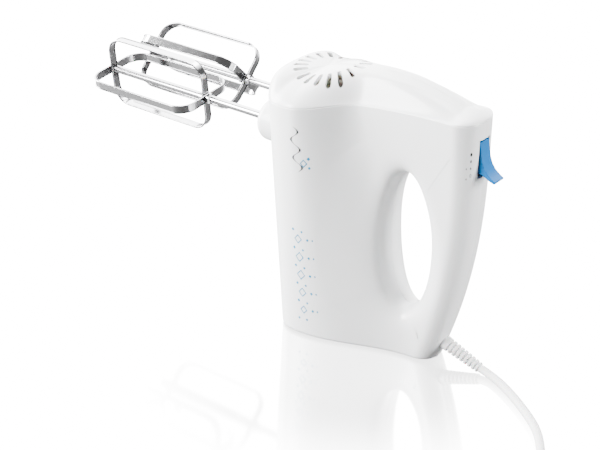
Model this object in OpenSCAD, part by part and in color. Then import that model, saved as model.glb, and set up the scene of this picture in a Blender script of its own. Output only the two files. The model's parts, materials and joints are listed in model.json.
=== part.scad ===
// Electric hand mixer standing on its heel: the beaters point along -X, the grip is on the +X side.
// Z = 0 is the surface it rests on. The motor shaft is vertical and turns both beaters by a worm.

/* [Housing] */
// Full width of the motor head at the rim of the top cover
head_w = 80; // [78:0.5:84]
// Full width of the motor head at the heel
heel_w = 66; // [64:0.5:70]
// Full width of the grip at the rim
grip_w = 34; // [33:0.5:36]
// Full width of the grip at the heel
heel_grip_w = 25; // [24:0.5:28]
// Height of the rim at the front of the head
rim_front_z = 160; // [159:0.5:161]
// How much higher the rim is at the grip
rim_rise = 10; // [8:0.5:11]
// Height of the crest of the top cover
crest_z = 184.5; // [183:0.5:185]
// Wall thickness of the mouldings
wall = 2.2; // [2:0.1:2.4]

/* [Hand opening] */
// Full width of the hand opening on the parting plane
opening_w = 33; // [31:0.5:34]
// Full height of the hand opening on the parting plane
opening_h = 95; // [92:0.5:96]
// How far the flare of the opening reaches across the motor head
flare_head = 34; // [30:1:36]
// How far the flare of the opening reaches across the grip
flare_grip = 15; // [14:0.5:16]

/* [Beaters] */
// Distance between the two beater axes
beater_gap = 40; // [40:0.25:40.5]
// Outer radius of a beater cage
cage_r = 24.4; // [23.5:0.1:24.5]
// Length of a beater cage
cage_len = 86; // [82:1:86]
// Width of a cage strip
strip_w = 5.8; // [5:0.1:6]
// Thickness of a cage strip
strip_t = 1.2; // [1:0.1:1.4]
// Radius of a beater shaft
shaft_r = 2.5; // [2.4:0.01:2.52]

/* [Speed lever] */
// Width of the thumb lever
lever_w = 10; // [9.5:0.1:10.5]
// Reach of the thumb lip beyond the lever's pivot
lip_reach = 43; // [42.5:0.1:43.4]

/* [Cord] */
// Diameter of the mains cord
cord_d = 5.4; // [5.2:0.1:5.4]

/* [Hidden] */
$fn = 48;
eps = 0.01;
fit = 0.08;          // radial clearance of a running fit

// Plan and side outline of the housing
head_x = 22;         // station where the head is widest
front_top_x = -8;    // front of the head at the rim
front_heel_x = 0;    // front of the head at the floor
back_x0 = 135.8;     // back of the grip where it is straight
back_sweep = 24.5;   // how far the back runs in towards the heel
back_turn_z = 140;   // height where the back starts to run in
end_len = 13;        // rounded end of the grip, in plan
waist_top_x = 61;    // end of the waist at the rim
waist_heel_x = 104;   // end of the waist at the floor
hole_x = 89;         // centre of the hand opening
hole_z = 79;
crest_x = 69;        // highest station of the top cover
crest_fall = 0.0034; // fall of the crest, per square millimetre from that station
grip_end_x = 122;    // rear end of the crest line

// Drive
axis_z = 140;        // height of the beater axes
motor_x = 22;        // station of the motor shaft
boss_face_x = -11;   // front face of the nose plate
boss_r = 13.5;
boss_edge = 6;
hub_r = 6;
bush_wall = 1.8;
gear_teeth = 28;
gear_r = beater_gap / 2 - 5.9;
worm_r = 5.6;
motor_shaft_r = 2.5;
stator_half = 20;
stator_z = 52;
stator_h = 36;

// Beaters
tip_x = -147;
cage_x = tip_x + 1;
corner_r = 12;
left_turn = 6.2;     // rest angle of the cage strips about the beater axis
right_turn = 45.1;

// Speed lever
pivot_x = 104;
pivot_z = 132;

// Cord: points of the route on the floor, then the coil
cord_r = cord_d / 2;
cord_path = [[142, 0, 3.9], [148, -0.8, 3], [154, -2.6, 2.7], [161, -5.6, 2.7], [168, -9.4, 2.7],
    [176, -14.2, 2.7], [184, -19.6, 2.7], [192, -25.4, 2.7], [200, -32, 2.7], [207, -39.5, 2.7],
    [213.5, -48.5, 2.7], [220, -58.5, 2.7], [227.5, -69, 2.7], [237, -79, 2.7], [249, -87.5, 2.8],
    [262, -92.8, 3.1], [274, -94.8, 3.5], [285, -95, 3.5]];
coil_x = 285;
coil_y = -58;
turn_r = [26.2, 31.6, 37, 28.9, 34.3];
coil_floor = 0.8;    // the tie passes under the turns
coil_band = 16.4;
coil_h = 10.2;
tail_path = [[319.3, -58, 8.2], [319.3, -50, 7.5], [319.3, -42, 6], [319.3, -34, 4.7],
    [319.3, -25, 4.3], [319.3, -16, 4.3]];
plug_x = 319.3;
plug_y = -16;
plug_z = 7;

function mix(a, b, t) = a + (b - a) * t;
function clip(t) = min(max(t, 0), 1);
function ease(t) = (1 - cos(180 * clip(t))) / 2;
function round_off(t, n) = pow(max(1 - pow(clip(t), n), 0), 1 / n);
function sgn_pow(v, p) = sign(v) * pow(abs(v), p);

function rim_z(x) = rim_front_z + rim_rise * ease((x - front_top_x) / 126);
function front_x(z) = mix(front_heel_x, front_top_x, z / rim_front_z);
function back_x(z) = back_x0 - back_sweep * pow(clip(1 - z / back_turn_z), 2.2);
function crest(x) = crest_z - crest_fall * pow(x - crest_x, 2);

// Half width of the housing at a station and height, set in by o
function half_w(x, z, o) =
    let (t = z / rim_front_z,
        head = mix(heel_w, head_w, t) / 2 - o,
        grip = mix(heel_grip_w, grip_w, t) / 2 - o,
        waist = mix(waist_heel_x, waist_top_x, t),
        xf = front_x(z) + o,
        xb = back_x(z) - o,
        body = mix(head, grip, ease((x - head_x) / (waist - head_x))))
    body * round_off((head_x - x) / (head_x - xf), 2.6) * round_off((x - xb + end_len) / end_len, 2.3);

// Stations round the side outline: front, top, back and base
n_front = 16;
n_top = 24;
n_back = 16;
n_base = 16;
n_rows = 13;
rim_back_z = rim_front_z + rim_rise;
function outline(o) = concat(
    [for (i = [0:n_front - 1]) let (z = mix(o, rim_front_z, i / n_front)) [front_x(z) + o, z]],
    [for (i = [0:n_top - 1]) let (x = mix(front_top_x + o, back_x0 - o, ease(i / n_top))) [x, rim_z(x)]],
    [for (i = [0:n_back - 1]) let (z = mix(rim_back_z, o, i / n_back)) [back_x(z) - o, z]],
    [for (i = [0:n_base - 1]) [mix(back_x(o) - o, front_x(o) + o, ease(i / n_base)), o]]);
function on_top(i) = i > n_front && i < n_front + n_top;

// Point of the hand opening that faces a station of the outline
function hole_pt(p, o) =
    let (sx = p[0] < hole_x ? hole_x - front_x(hole_z) : back_x(hole_z) - hole_x,
        sz = p[1] < hole_z ? hole_z : rim_back_z - hole_z,
        a = atan2((p[1] - hole_z) / sz, (p[0] - hole_x) / sx))
    [hole_x + (opening_w / 2 + o) * sgn_pow(cos(a), 0.95),
        hole_z + (opening_h / 2 + o) * sgn_pow(sin(a), 0.95)];
// How much of the full width the flare leaves at a distance s from the opening, towards q
function flare(p, q, s) =
    let (d = q - p, side = abs(d[0]) / (norm(d) + eps), to_head = p[0] > q[0],
        reach = mix(18, to_head ? flare_head : flare_grip, side),
        power = mix(3, to_head ? 6 : 2, side))
    round_off(1 - s / reach, power);

// One row of the moulding: outer or inner face, from the opening out to the outline
function face_row(i, o, sgn) =
    let (q = outline(o)[i], p = hole_pt(q, o), far = norm(q - p))
    [for (j = [0:n_rows])
        let (t = ease(j / n_rows), r = mix(p, q, t),
            y = half_w(r[0], r[1], o) * flare(p, q, t * far))
        [r[0], sgn * max(y, j == n_rows ? 2.4 - o / 2 : 0), r[1]]];
// The row's end: on the parting plane, or on the lip under the top cover
function end_pt(i, o, sgn) =
    let (q = outline(o)[i], y = half_w(q[0], q[1], o))
    [q[0], on_top(i) ? sgn * (o == 0 ? y - wall / 3 : y + wall / 3) : 0, q[1]];

module half_shell(sgn) {
    n = n_front + n_top + n_back + n_base;
    rings = [for (i = [0:n - 1])
        let (a = face_row(i, 0, sgn), b = face_row(i, wall, sgn))
        concat(a, [end_pt(i, 0, sgn), end_pt(i, wall, sgn)], [for (j = [n_rows:-1:0]) b[j]])];
    m = len(rings[0]);
    pts = [for (r = rings) for (p = r) p];
    polyhedron(pts, loft_faces(n, m, sgn < 0));
}

// Triangles of a lattice that closes both ways
function loft_faces(n, m, flip) = [for (i = [0:n - 1]) for (j = [0:m - 1])
    let (a = i * m + j, b = ((i + 1) % n) * m + j,
        c = ((i + 1) % n) * m + (j + 1) % m, d = i * m + (j + 1) % m)
    each flip ? [[a, c, b], [a, d, c]] : [[a, b, c], [a, c, d]]];

// ---- Housing ----

screw_spots = [[12, 9, 29], [92, 12, 11.4], [64, 152, 15], [114, 109, 12.2]];
boss_gap = 0.25;

// Stadium through both beater axes, along X from x0 to x1
module stadium(r, x0, x1) {
    for (s = [-1, 1]) translate([x0, s * beater_gap / 2, axis_z]) rotate([0, 90, 0])
        cylinder(r = r, h = x1 - x0);
    translate([x0, -beater_gap / 2, axis_z - r]) cube([x1 - x0, beater_gap, 2 * r]);
}

// Slot for the thumb lever; its ceiling slopes the way the lever dives
module lever_slot() rotate([90, 0, 0]) linear_extrude(lever_w + 0.8, center = true)
    polygon([[129, 134.8], [146, 134.8], [146, 148], [137.5, 157], [131, 164.7], [129, 164.7]]);

relief_tilt = 19;
module on_relief_axis() translate([142, 0, 3.9]) rotate([0, 90 + relief_tilt, 0]) children();

module shell_cuts() {
    stadium(boss_r + boss_gap, -20, 13);
    lever_slot();
    on_relief_axis() translate([0, 0, -36]) cylinder(r = 5, h = 16);
}

module post(x, z, y0, y1, r, sgn)
    translate([x, sgn * y0, z]) rotate([-90 * sgn, 0, 0]) cylinder(r = r, h = y1 - y0);

module housing_left() color("white") {
    difference() {
        union() {
            half_shell(-1);
            for (p = screw_spots) post(p[0], p[1], 0.1, p[2], 4, -1);
            post(pivot_x, pivot_z, 8, 14.4, 4, -1);
        }
        union() {
            shell_cuts();
            for (p = screw_spots) post(p[0], p[1], -1, 9, 1.35, -1);
            post(pivot_x, pivot_z, 0, 12.2, 1.65, -1);
        }
    }
}

module housing_right() color("white") {
    difference() {
        union() {
            half_shell(1);
            for (p = screw_spots) post(p[0], p[1], 0.1, p[2], 4.8, 1);
            post(pivot_x, pivot_z, 8, 14.4, 4, 1);
        }
        union() {
            shell_cuts();
            for (p = screw_spots) {
                post(p[0], p[1], -1, 50, 1.7, 1);
                post(p[0], p[1], 6, 50, 3.4, 1);
            }
            post(pivot_x, pivot_z, 0, 12.2, 1.65, 1);
        }
    }
}

module housing_screws() color("silver") for (p = screw_spots) {
    post(p[0], p[1], -8, 6.2, 1.3, 1);
    difference() {
        post(p[0], p[1], 6.1, 8.4, 3.1, 1);
        for (a = [0, 90]) translate([p[0], 8.4, p[1]]) rotate([0, a, 0]) cube([4, 1.8, 0.8], center = true);
    }
}

// Top cover: rings that run from the rim in to the crest line
n_rim = 30;
n_ring = 8;
core_r = 0.1;
skirt_gap = 0.3;
skirt_t = 1.5;
skirt_h = 3;
nose_turn = 16;      // length over which the steep front turns into the rounder side
spine_start = 18;    // the dome over the head fades into the ridge from here
spine_len = 26;
ridge_power = 2.4;   // fullness of the ridge in section
function rim_pt(k, o) =
    let (i = k <= n_rim ? k : 2 * n_rim - k, side = k <= n_rim ? -1 : 1,
        x = mix(front_top_x + o, back_x0 - o, ease(i / n_rim)))
    [x, side * half_w(x, rim_z(x), o), rim_z(x)];
function dome(r, x) =
    let (side = ease((x - front_top_x) / nose_turn),
        full = pow(max(1 - pow(r, mix(8, 2, side)), 0), mix(0.3, 0.6, side)),
        domed = max(1 - ease((x - spine_start) / spine_len), ease((x - grip_end_x + 10) / 22)))
    mix(ease(1 - pow(r, ridge_power)), full, domed);
function cover_pt(k, r, o, drop) =
    let (e = rim_pt(k, o), cx = min(max(e[0], head_x), grip_end_x))
    [mix(cx, e[0], r), e[1] * r, mix(e[2], crest(cx), dome(r, e[0])) - drop];
function cover_ring(r, o, drop) = [for (k = [0:2 * n_rim - 1]) cover_pt(k, r, o, drop)];

module cover_shell() {
    o = wall + skirt_gap;
    rings = concat([for (i = [0:n_ring]) cover_ring(mix(core_r, 1, i / n_ring), 0, 0)],
        [cover_ring(1, o, 0), cover_ring(1, o, skirt_h), cover_ring(1, o + skirt_t, skirt_h)],
        [for (i = [n_ring:-1:0]) cover_ring(mix(core_r, 1, i / n_ring), o + skirt_t, wall)]);
    m = 2 * n_rim;
    last = (len(rings) - 1) * m;
    sides = [for (i = [0:len(rings) - 2]) for (j = [0:m - 1])
        let (a = i * m + j, b = i * m + (j + 1) % m, c = b + m, d = a + m)
        each [[a, c, b], [a, d, c]]];
    caps = [for (i = [0:n_rim - 1]) let (b = i + 1, c = (m - i - 1) % m, d = (m - i) % m)
        each concat(i < n_rim - 1 ? [[i, b, c], [last + i, last + c, last + b]] : [],
            i > 0 ? [[i, c, d], [last + i, last + d, last + c]] : [])];
    polyhedron([for (r = rings) for (p = r) p], concat(sides, caps));
}

vent_x = 24;
vent_slots = 20;
module vents() translate([vent_x, 0, 150]) linear_extrude(45) for (k = [0:vent_slots - 1])
    rotate(360 / vent_slots * (k + 0.5)) polygon([[15, -1.1], [25.5, -1.8], [25.5, 1.8], [15, 1.1]]);

module top_cover() color("white") difference() {
    cover_shell();
    vents();
}

// Profile of the nose plate: radius against depth, with a rounded front edge
boss_len = 19;
boss_profile = concat([[0, 0], [boss_r, 0]],
    [for (a = [0:15:90]) [boss_r - boss_edge * (1 - cos(a)), boss_len - boss_edge * (1 - sin(a))]],
    [[0, boss_len]]);
module nose_plate() color("white") difference() {
    union() {
        for (s = [-1, 1]) translate([boss_face_x + boss_len, s * beater_gap / 2, axis_z])
            rotate([0, -90, 0]) rotate_extrude() polygon(boss_profile);
        for (s = [-1, 1]) translate([boss_face_x + boss_len, beater_gap / 2, axis_z])
            rotate([90, 0, 0]) linear_extrude(beater_gap)
            polygon([for (p = boss_profile) [-p[1], s * p[0]]]);
    }
    stadium(11.5, boss_face_x + 9, boss_face_x + boss_len + 1);
    for (s = [-1, 1]) translate([boss_face_x - 1, s * beater_gap / 2, axis_z]) rotate([0, 90, 0])
        cylinder(r = hub_r + fit + bush_wall, h = 20);
}

// ---- Beaters ----

module at_beater(side) translate([0, side * beater_gap / 2, axis_z]) children();

lug_x = 2;
lug_len = 6;
shaft_end_x = 12.5;
module beater_shaft(side) color("gainsboro") at_beater(side) {
    translate([cage_x, 0, 0]) rotate([0, 90, 0]) cylinder(r = shaft_r, h = shaft_end_x - cage_x);
    for (a = [0, 180]) rotate([a, 0, 0])
        translate([lug_x, 0, 0]) translate([0, 0, -0.6]) cube([lug_len, 3.8, 1.2]);
}
module beater_left_shaft() beater_shaft(-1);
module beater_right_shaft() beater_shaft(1);

// Outline of one flat loop, as a rounded rectangle set in by d
module loop_outline(d) {
    r = corner_r - d;
    x0 = cage_x + d;
    x1 = cage_x + cage_len - d;
    y1 = cage_r - d;
    for (x = [x0 + r, x1 - r]) for (s = [-1, 1]) translate([x, s * (y1 - r)]) circle(r = r);
    translate([x0 + r, -y1]) square([x1 - x0 - 2 * r, 2 * y1]);
    translate([x0, -(y1 - r)]) square([x1 - x0, 2 * (y1 - r)]);
}
module beater_loops(side, turn) color("gainsboro") at_beater(side)
    difference() {
        union() for (a = [0, 90]) rotate([turn + a, 0, 0])
            linear_extrude(strip_w, center = true) difference() {
                loop_outline(0);
                loop_outline(strip_t);
            }
        translate([cage_x - 1, 0, 0]) rotate([0, 90, 0]) cylinder(r = shaft_r + 0.02, h = cage_len + 2);
    }
module beater_left_loops() beater_loops(-1, left_turn);
module beater_right_loops() beater_loops(1, right_turn);

// Rivet that closes the tip of the cage
module beater_tip(side) color("gainsboro") at_beater(side) rotate([0, -90, 0]) translate([0, 0, -cage_x])
    rotate_extrude() polygon([[0, 0], [3.6, 0], [3.6, 0.3], [3, 0.8], [1.6, 1], [0, 1]]);
module beater_left_tip() beater_tip(-1);
module beater_right_tip() beater_tip(1);

// ---- Gear train ----

gear_w = 9;
pin_bore_r = 1.7;    // bore for the pin that pushes a beater out
journal_r = 4;
gear_back_x = 31;
journal_end_x = 38;
module tooth_ring() {
    root = gear_r - 2;
    step = 360 / gear_teeth;
    polygon([for (i = [0:gear_teeth - 1])
        for (p = [[root, -0.3], [gear_r, -0.14], [gear_r, 0.14], [root, 0.3]])
        [p[0] * cos((i + p[1]) * step), p[0] * sin((i + p[1]) * step)]]);
}
module gear(side) color("ivory") at_beater(side) difference() {
    union() {
        translate([motor_x - gear_w / 2, 0, 0]) rotate([0, 90, 0]) linear_extrude(gear_w) tooth_ring();
        translate([boss_face_x + 1, 0, 0]) rotate([0, 90, 0])
            cylinder(r = hub_r, h = gear_back_x - boss_face_x - 1);
        translate([gear_back_x - 1, 0, 0]) rotate([0, 90, 0])
            cylinder(r = journal_r, h = journal_end_x - gear_back_x + 1);
    }
    translate([boss_face_x, 0, 0]) rotate([0, 90, 0])
        cylinder(r = shaft_r + fit, h = shaft_end_x - boss_face_x + 0.5);
    rotate([0, 90, 0]) cylinder(r = pin_bore_r, h = journal_end_x + 1);
    translate([boss_face_x, -4.2, -0.9]) cube([lug_x + lug_len + 0.3 - boss_face_x, 8.4, 1.8]);
}
module gear_left() gear(-1);
module gear_right() gear(1);

module ring_along_x(x, len, r_out, r_in) translate([x, 0, 0]) rotate([0, 90, 0]) difference() {
    cylinder(r = r_out, h = len);
    translate([0, 0, -1]) cylinder(r = r_in, h = len + 2);
}
module front_bushes() color("peru") for (s = [-1, 1]) at_beater(s)
    ring_along_x(boss_face_x + 0.6, 8.2, hub_r + fit + bush_wall - 0.03, hub_r + fit);
module rear_bushes() color("peru") for (s = [-1, 1]) at_beater(s)
    ring_along_x(gear_back_x + 0.5, 7.5, journal_r + fit + bush_wall - 0.03, journal_r + fit);

frame_x = 32;
frame_t = 5.5;
bridge_z = 157;
post_spots = [[8.7, 14.2], [8.7, -14.2], [-8.7, 14.2], [-8.7, -14.2]];
module gear_frame() color("dimgray") difference() {
    union() {
        translate([frame_x, -29, axis_z - 13]) cube([frame_t, 58, 26]);
        for (p = post_spots) translate([boss_face_x + boss_len + 0.05, p[0], axis_z + p[1]])
            rotate([0, 90, 0]) cylinder(r = 2.4, h = frame_x + 1 - boss_face_x - boss_len);
        translate([motor_x - 8, -8, bridge_z]) cube([frame_x + frame_t - motor_x + 8, 16, 4]);
        translate([frame_x, -8, axis_z + 12]) cube([frame_t, 16, bridge_z - axis_z - 8]);
    }
    for (s = [-1, 1]) at_beater(s) translate([frame_x - 1, 0, 0]) rotate([0, 90, 0])
        cylinder(r = journal_r + fit + bush_wall, h = frame_t + 2);
    translate([motor_x, 0, bridge_z - 1]) cylinder(r = 5.03, h = 6);
}

// ---- Motor ----

shaft_bottom_z = 12;
shaft_top_z = 171;
module ring_z(z, h, r_out, r_in) translate([motor_x, 0, z]) difference() {
    cylinder(r = r_out, h = h);
    translate([0, 0, -1]) cylinder(r = r_in, h = h + 2);
}
sleeve_r = motor_shaft_r + 0.03;
module armature_shaft() color("silver")
    translate([motor_x, 0, shaft_bottom_z]) cylinder(r = motor_shaft_r, h = shaft_top_z - shaft_bottom_z);

worm_z = 124;
worm_h = 31;
worm_turns = 3;
module worm() color("gray") translate([motor_x, 0, worm_z]) difference() {
    linear_extrude(worm_h, twist = -360 * worm_turns, slices = 36)
        polygon([for (a = [0:30:330]) (worm_r - 0.9 + 0.9 * cos(2 * a)) * [cos(a), sin(a)]]);
    translate([0, 0, -1]) cylinder(r = sleeve_r + 0.05, h = worm_h + 2);
}

core_out_r = 11.5;
slots = 10;
module armature_core() color("slategray") translate([motor_x, 0, stator_z]) linear_extrude(stator_h)
    difference() {
        circle(r = core_out_r);
        circle(r = sleeve_r);
        for (k = [0:slots - 1]) rotate(360 / slots * k) translate([6, -1]) square([7, 2]);
    }
module armature_windings() color("chocolate") for (z = [stator_z - 9, stator_z + stator_h + 1])
    translate([motor_x, 0, z]) rotate_extrude()
        polygon([[4.5, 0], [8.5, 0], [10, 2], [10, 6], [8.5, 8], [4.5, 8]]);
module commutator() color("peru") translate([motor_x, 0, 29]) linear_extrude(12) difference() {
    circle(r = 6.5);
    circle(r = sleeve_r);
    for (k = [0:19]) rotate(18 * k) translate([5.7, -0.2]) square([2, 0.4]);
}

fan_z = 163;
fan_r = 19;
module fan() color("whitesmoke") translate([motor_x, 0, fan_z]) {
    difference() {
        union() {
            cylinder(r = fan_r, h = 1.2);
            cylinder(r = 5, h = 7);
        }
        translate([0, 0, -1]) cylinder(r = sleeve_r, h = 10);
    }
    for (k = [0:8]) rotate(40 * k) translate([6.5, -0.5, 1]) cube([fan_r - 7.5, 1, 5.5]);
}

screw_reach = 16.6;
coil_y0 = 12.6;
coil_y1 = 17.2;
module stator_section() difference() {
    union() {
        square([2 * stator_half - 10, 2 * stator_half], center = true);
        square([2 * stator_half, 2 * stator_half - 10], center = true);
        for (x = [-1, 1]) for (y = [-1, 1]) translate([x, y] * (stator_half - 5)) circle(r = 5);
    }
    circle(r = 12.3);
    for (s = [-1, 1]) for (e = [-1, 1]) translate([e * 12, s * (coil_y0 + coil_y1) / 2])
        square([7, coil_y1 - coil_y0 + 0.4], center = true);
    for (e = [-1, 1]) translate([e * screw_reach, 0]) circle(r = 1.6);
}
module stator_core() color("gray")
    translate([motor_x, 0, stator_z]) linear_extrude(stator_h) stator_section();
coil_over = 7;
module field_coils() color("chocolate") for (s = [-1, 1])
    translate([motor_x, s * (coil_y0 + coil_y1) / 2, stator_z + stator_h / 2]) difference() {
        cube([30.6, coil_y1 - coil_y0, stator_h + 2 * coil_over], center = true);
        cube([17.2, coil_y1, stator_h + 0.4], center = true);
    }

module bracket_section(r_hole) difference() {
    union() {
        square([38.6, 14], center = true);
        circle(r = 12);
    }
    circle(r = r_hole);
    for (e = [-1, 1]) translate([e * screw_reach, 0]) circle(r = 1.6);
}
bracket_top_z = 100;
bracket_low_z = 17;
module spacer_legs(z0, z1) for (e = [-1, 1]) translate([motor_x + e * screw_reach, 0, z0]) difference() {
    cylinder(r = 2.3, h = z1 - z0);
    translate([0, 0, -1]) cylinder(r = 1.6, h = z1 - z0 + 2);
}
module motor_bracket_top() color("dimgray") {
    translate([motor_x, 0, bracket_top_z]) linear_extrude(3) bracket_section(4);
    spacer_legs(stator_z + stator_h + 0.05, bracket_top_z + 0.5);
}
module motor_bracket_bottom() color("dimgray") {
    translate([motor_x, 0, bracket_low_z]) linear_extrude(4) bracket_section(5.03);
    spacer_legs(bracket_low_z + 3.5, stator_z - 0.05);
}
module shaft_bearing_top() color("peru") ring_z(bridge_z - 0.5, 5, 5, motor_shaft_r + fit);
module shaft_bearing_bottom() color("peru") ring_z(bracket_low_z - 2, 7, 5, motor_shaft_r + fit);
module motor_screws() color("silver") for (e = [-1, 1])
translate([motor_x + e * screw_reach, 0, bracket_low_z - 5]) {
    cylinder(r = 1.5, h = bracket_top_z + 8 - bracket_low_z);
    translate([0, 0, 3]) cylinder(r = 2.8, h = 1.9);
    translate([0, 0, bracket_top_z + 8.1 - bracket_low_z]) cylinder(r = 2.8, h = 1.8);
}

brush_z = 35;
module brush_holders() color("darkgoldenrod") for (s = [-1, 1])
translate([motor_x, s * 16, brush_z]) difference() {
    cube([7.4, 15, 9.4], center = true);
    cube([5.4, 20, 7.4], center = true);
}
module carbon_brushes() color("black") for (s = [-1, 1])
    translate([motor_x, s * 11.7, brush_z]) cube([5.2, 9.8, 7.2], center = true);
module brush_springs() color("silver") for (s = [-1, 1]) for (k = [0:3])
    translate([motor_x, s * (17.4 + 1.3 * k), brush_z]) rotate([90, 0, 0]) rotate_extrude()
        translate([1.9, 0]) circle(r = 0.35, $fn = 16);

// ---- Switch and lever ----

tail = 14;
module speed_lever() color("deepskyblue") difference() {
    union() {
        rotate([90, 0, 0]) linear_extrude(lever_w, center = true)
            polygon([[127, 146], [133.2, 157.8], [135.4, 157.8], [136, 154.5], [136.7, 150.5], [137.6, 146.5],
                [139, 142.8], [141.3, 139.6], [144.2, 137.3], [pivot_x + lip_reach, 135.6],
                [pivot_x + lip_reach, 134.7], [145.9, 134.3], [143, 135.2], [139.8, 137], [137, 138.2],
                [126, 138.2]]);
        rotate([90, 0, 0]) linear_extrude(8, center = true)
            polygon([[104, 127.4], [128, 138.4], [128, 147], [104, 136.6]]);
        translate([pivot_x, 0, pivot_z]) rotate([90, 0, 0]) cylinder(r = 4.6, h = 15.4, center = true);
        translate([pivot_x - 0.8, -2.5, pivot_z + 3]) cube([1.6, 5, tail - 3]);
        translate([pivot_x, 0, pivot_z + tail]) rotate([90, 0, 0]) cylinder(r = 1.5, h = 5, center = true);
    }
    translate([pivot_x, 0, pivot_z]) rotate([90, 0, 0]) cylinder(r = 1.5 + fit, h = 20, center = true);
}
module lever_pin() color("silver")
    translate([pivot_x, 0, pivot_z]) rotate([90, 0, 0]) cylinder(r = 1.5, h = 24, center = true);
module switch_body() color("dimgray") translate([82, -8, pivot_z + tail + 3]) cube([22, 16, 12]);
module switch_slider() color("orangered") translate([pivot_x, 0, pivot_z + tail]) difference() {
    translate([-5, -4, -2.2]) cube([10, 8, 4.9]);
    translate([-2.1, -5, -3]) cube([4.2, 10, 4.9]);
}
module detent_spring() color("silver") rotate([90, 0, 0]) linear_extrude(6, center = true)
    polygon([[95, 142], [98, 135.4], [98.9, 133], [98.9, 131], [98, 128.6], [96.4, 126.4],
        [95.8, 126.4], [97.4, 128.8], [98.3, 131.2], [98.3, 132.8], [97.4, 135.2], [94.4, 142]]);

plate_x = 44;
module eject_plate() color("whitesmoke") {
    translate([plate_x, -22, axis_z - 5]) cube([2, 44, 10]);
    for (s = [-1, 1]) at_beater(s) translate([shaft_end_x + 3.4, 0, 0]) rotate([0, 90, 0])
        cylinder(r = 1.5, h = plate_x + 1 - shaft_end_x - 3.4);
}
module eject_springs() color("silver") for (s = [-1, 1]) for (k = [0:2]) at_beater(s)
    translate([journal_end_x + 0.5 + 0.9 * k, 0, 0]) rotate([0, 90, 0]) rotate_extrude()
        translate([2.6, 0]) circle(r = 0.4, $fn = 16);

module speed_board() color("darkgreen") translate([120, -8, 60]) cube([1.6, 16, 40]);
module capacitor() color("gold") translate([111.5, -5, 72]) cube([8, 10, 15]);

// ---- Cord, relief and plug ----

module cord_clamp() color("dimgray") difference() {
    on_relief_axis() translate([-4.5, -9, -47]) cube([9, 18, 7]);
    on_relief_axis() {
        translate([0, 0, -50]) cylinder(r = cord_r + 0.05, h = 14);
        for (s = [-1, 1]) translate([-10, s * 6.2, -43.5]) rotate([0, 90, 0]) cylinder(r = 1.35, h = 20);
    }
}
module clamp_screws() color("silver") on_relief_axis() for (s = [-1, 1])
    translate([-6.6, s * 6.2, -43.5]) rotate([0, 90, 0]) {
        cylinder(r = 2.4, h = 2);
        cylinder(r = 1.3, h = 10);
    }

relief_len = 28;
ribs = 8;
rib_step = 3;
function relief_r(t) = mix(4.6, 3.5, t);
module strain_relief() color("white") on_relief_axis() rotate_extrude() polygon(concat(
    [[cord_r + 0.05, 0], [relief_r(1), 0]],
    [for (k = [0:ribs - 1]) let (z = -1 - rib_step * k, r = relief_r(1 - k / ribs))
        each [[r, z], [r - 0.6, z], [r - 0.5, z - 1.1], [r + 0.05, z - 1.1]]],
    [[4.7, -relief_len], [4.7, -34], [6.5, -34], [6.5, -36], [cord_r + 0.05, -36]]));

function unit(v) = v / norm(v);
function sweep_ring(path, i, r, n) =
    let (a = path[max(i - 1, 0)], b = path[min(i + 1, len(path) - 1)],
        t = unit(b - a), s = unit(cross(t, [0, 0, 1])), u = cross(s, t))
    [for (k = [0:n - 1]) path[i] + r * (cos(360 * (k + 0.5) / n) * s + sin(360 * (k + 0.5) / n) * u)];
module tube(path, r, n = 8) {
    last = (len(path) - 1) * n;
    polyhedron([for (i = [0:len(path) - 1]) each sweep_ring(path, i, r, n)], concat(
        [for (i = [0:len(path) - 2]) for (k = [0:n - 1])
            let (a = i * n + k, b = i * n + (k + 1) % n) each [[a, b, b + n], [a, b + n, a + n]]],
        [for (k = [1:n - 2]) each [[0, k + 1, k], [last, last + k, last + k + 1]]]));
}

module cord() color("white") {
    tube(cord_path, cord_r);
    tube(tail_path, cord_r);
    on_relief_axis() translate([0, 0, -52]) cylinder(r = cord_r, h = 51.5);
}
module cord_coil() color("white") translate([coil_x, coil_y, coil_floor]) rotate_extrude()
    translate([turn_r[1] - coil_band / 2, 0]) square([coil_band, coil_h]);
module cord_tie() color("gray")
translate([coil_x, coil_y + turn_r[1], coil_floor + coil_h / 2]) difference() {
    cube([8, coil_band + 1.6, coil_h + 1.6], center = true);
    cube([9, coil_band + 0.1, coil_h + 0.1], center = true);
}

// Flat two-pin plug
plug_len = 36;
plug_w = 26;
plug_t = 13.7;
pin_gap = 18.6;
pin_len = 19;
module plug_body() color("white") translate([plug_x, plug_y, plug_z]) rotate([0, 0, 90]) {
    translate([14, 0, 0]) linear_extrude(plug_t, center = true)
        polygon([[0, -5], [12, -plug_w / 2], [plug_len - 14, -plug_w / 2], [plug_len - 14, plug_w / 2],
            [12, plug_w / 2], [0, 5]]);
    translate([0, 0, -2.7]) rotate([0, 90, 0]) cylinder(r1 = 4.2, r2 = 4.25, h = 14.5);
}
module plug_pins() color("silver") for (s = [-1, 1])
    translate([plug_x + s * pin_gap / 2, plug_y + plug_len, plug_z]) rotate([-90, 0, 0]) {
        cylinder(r = 2, h = pin_len - 2);
        translate([0, 0, pin_len - 2]) cylinder(r1 = 2, r2 = 1, h = 2);
    }

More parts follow.
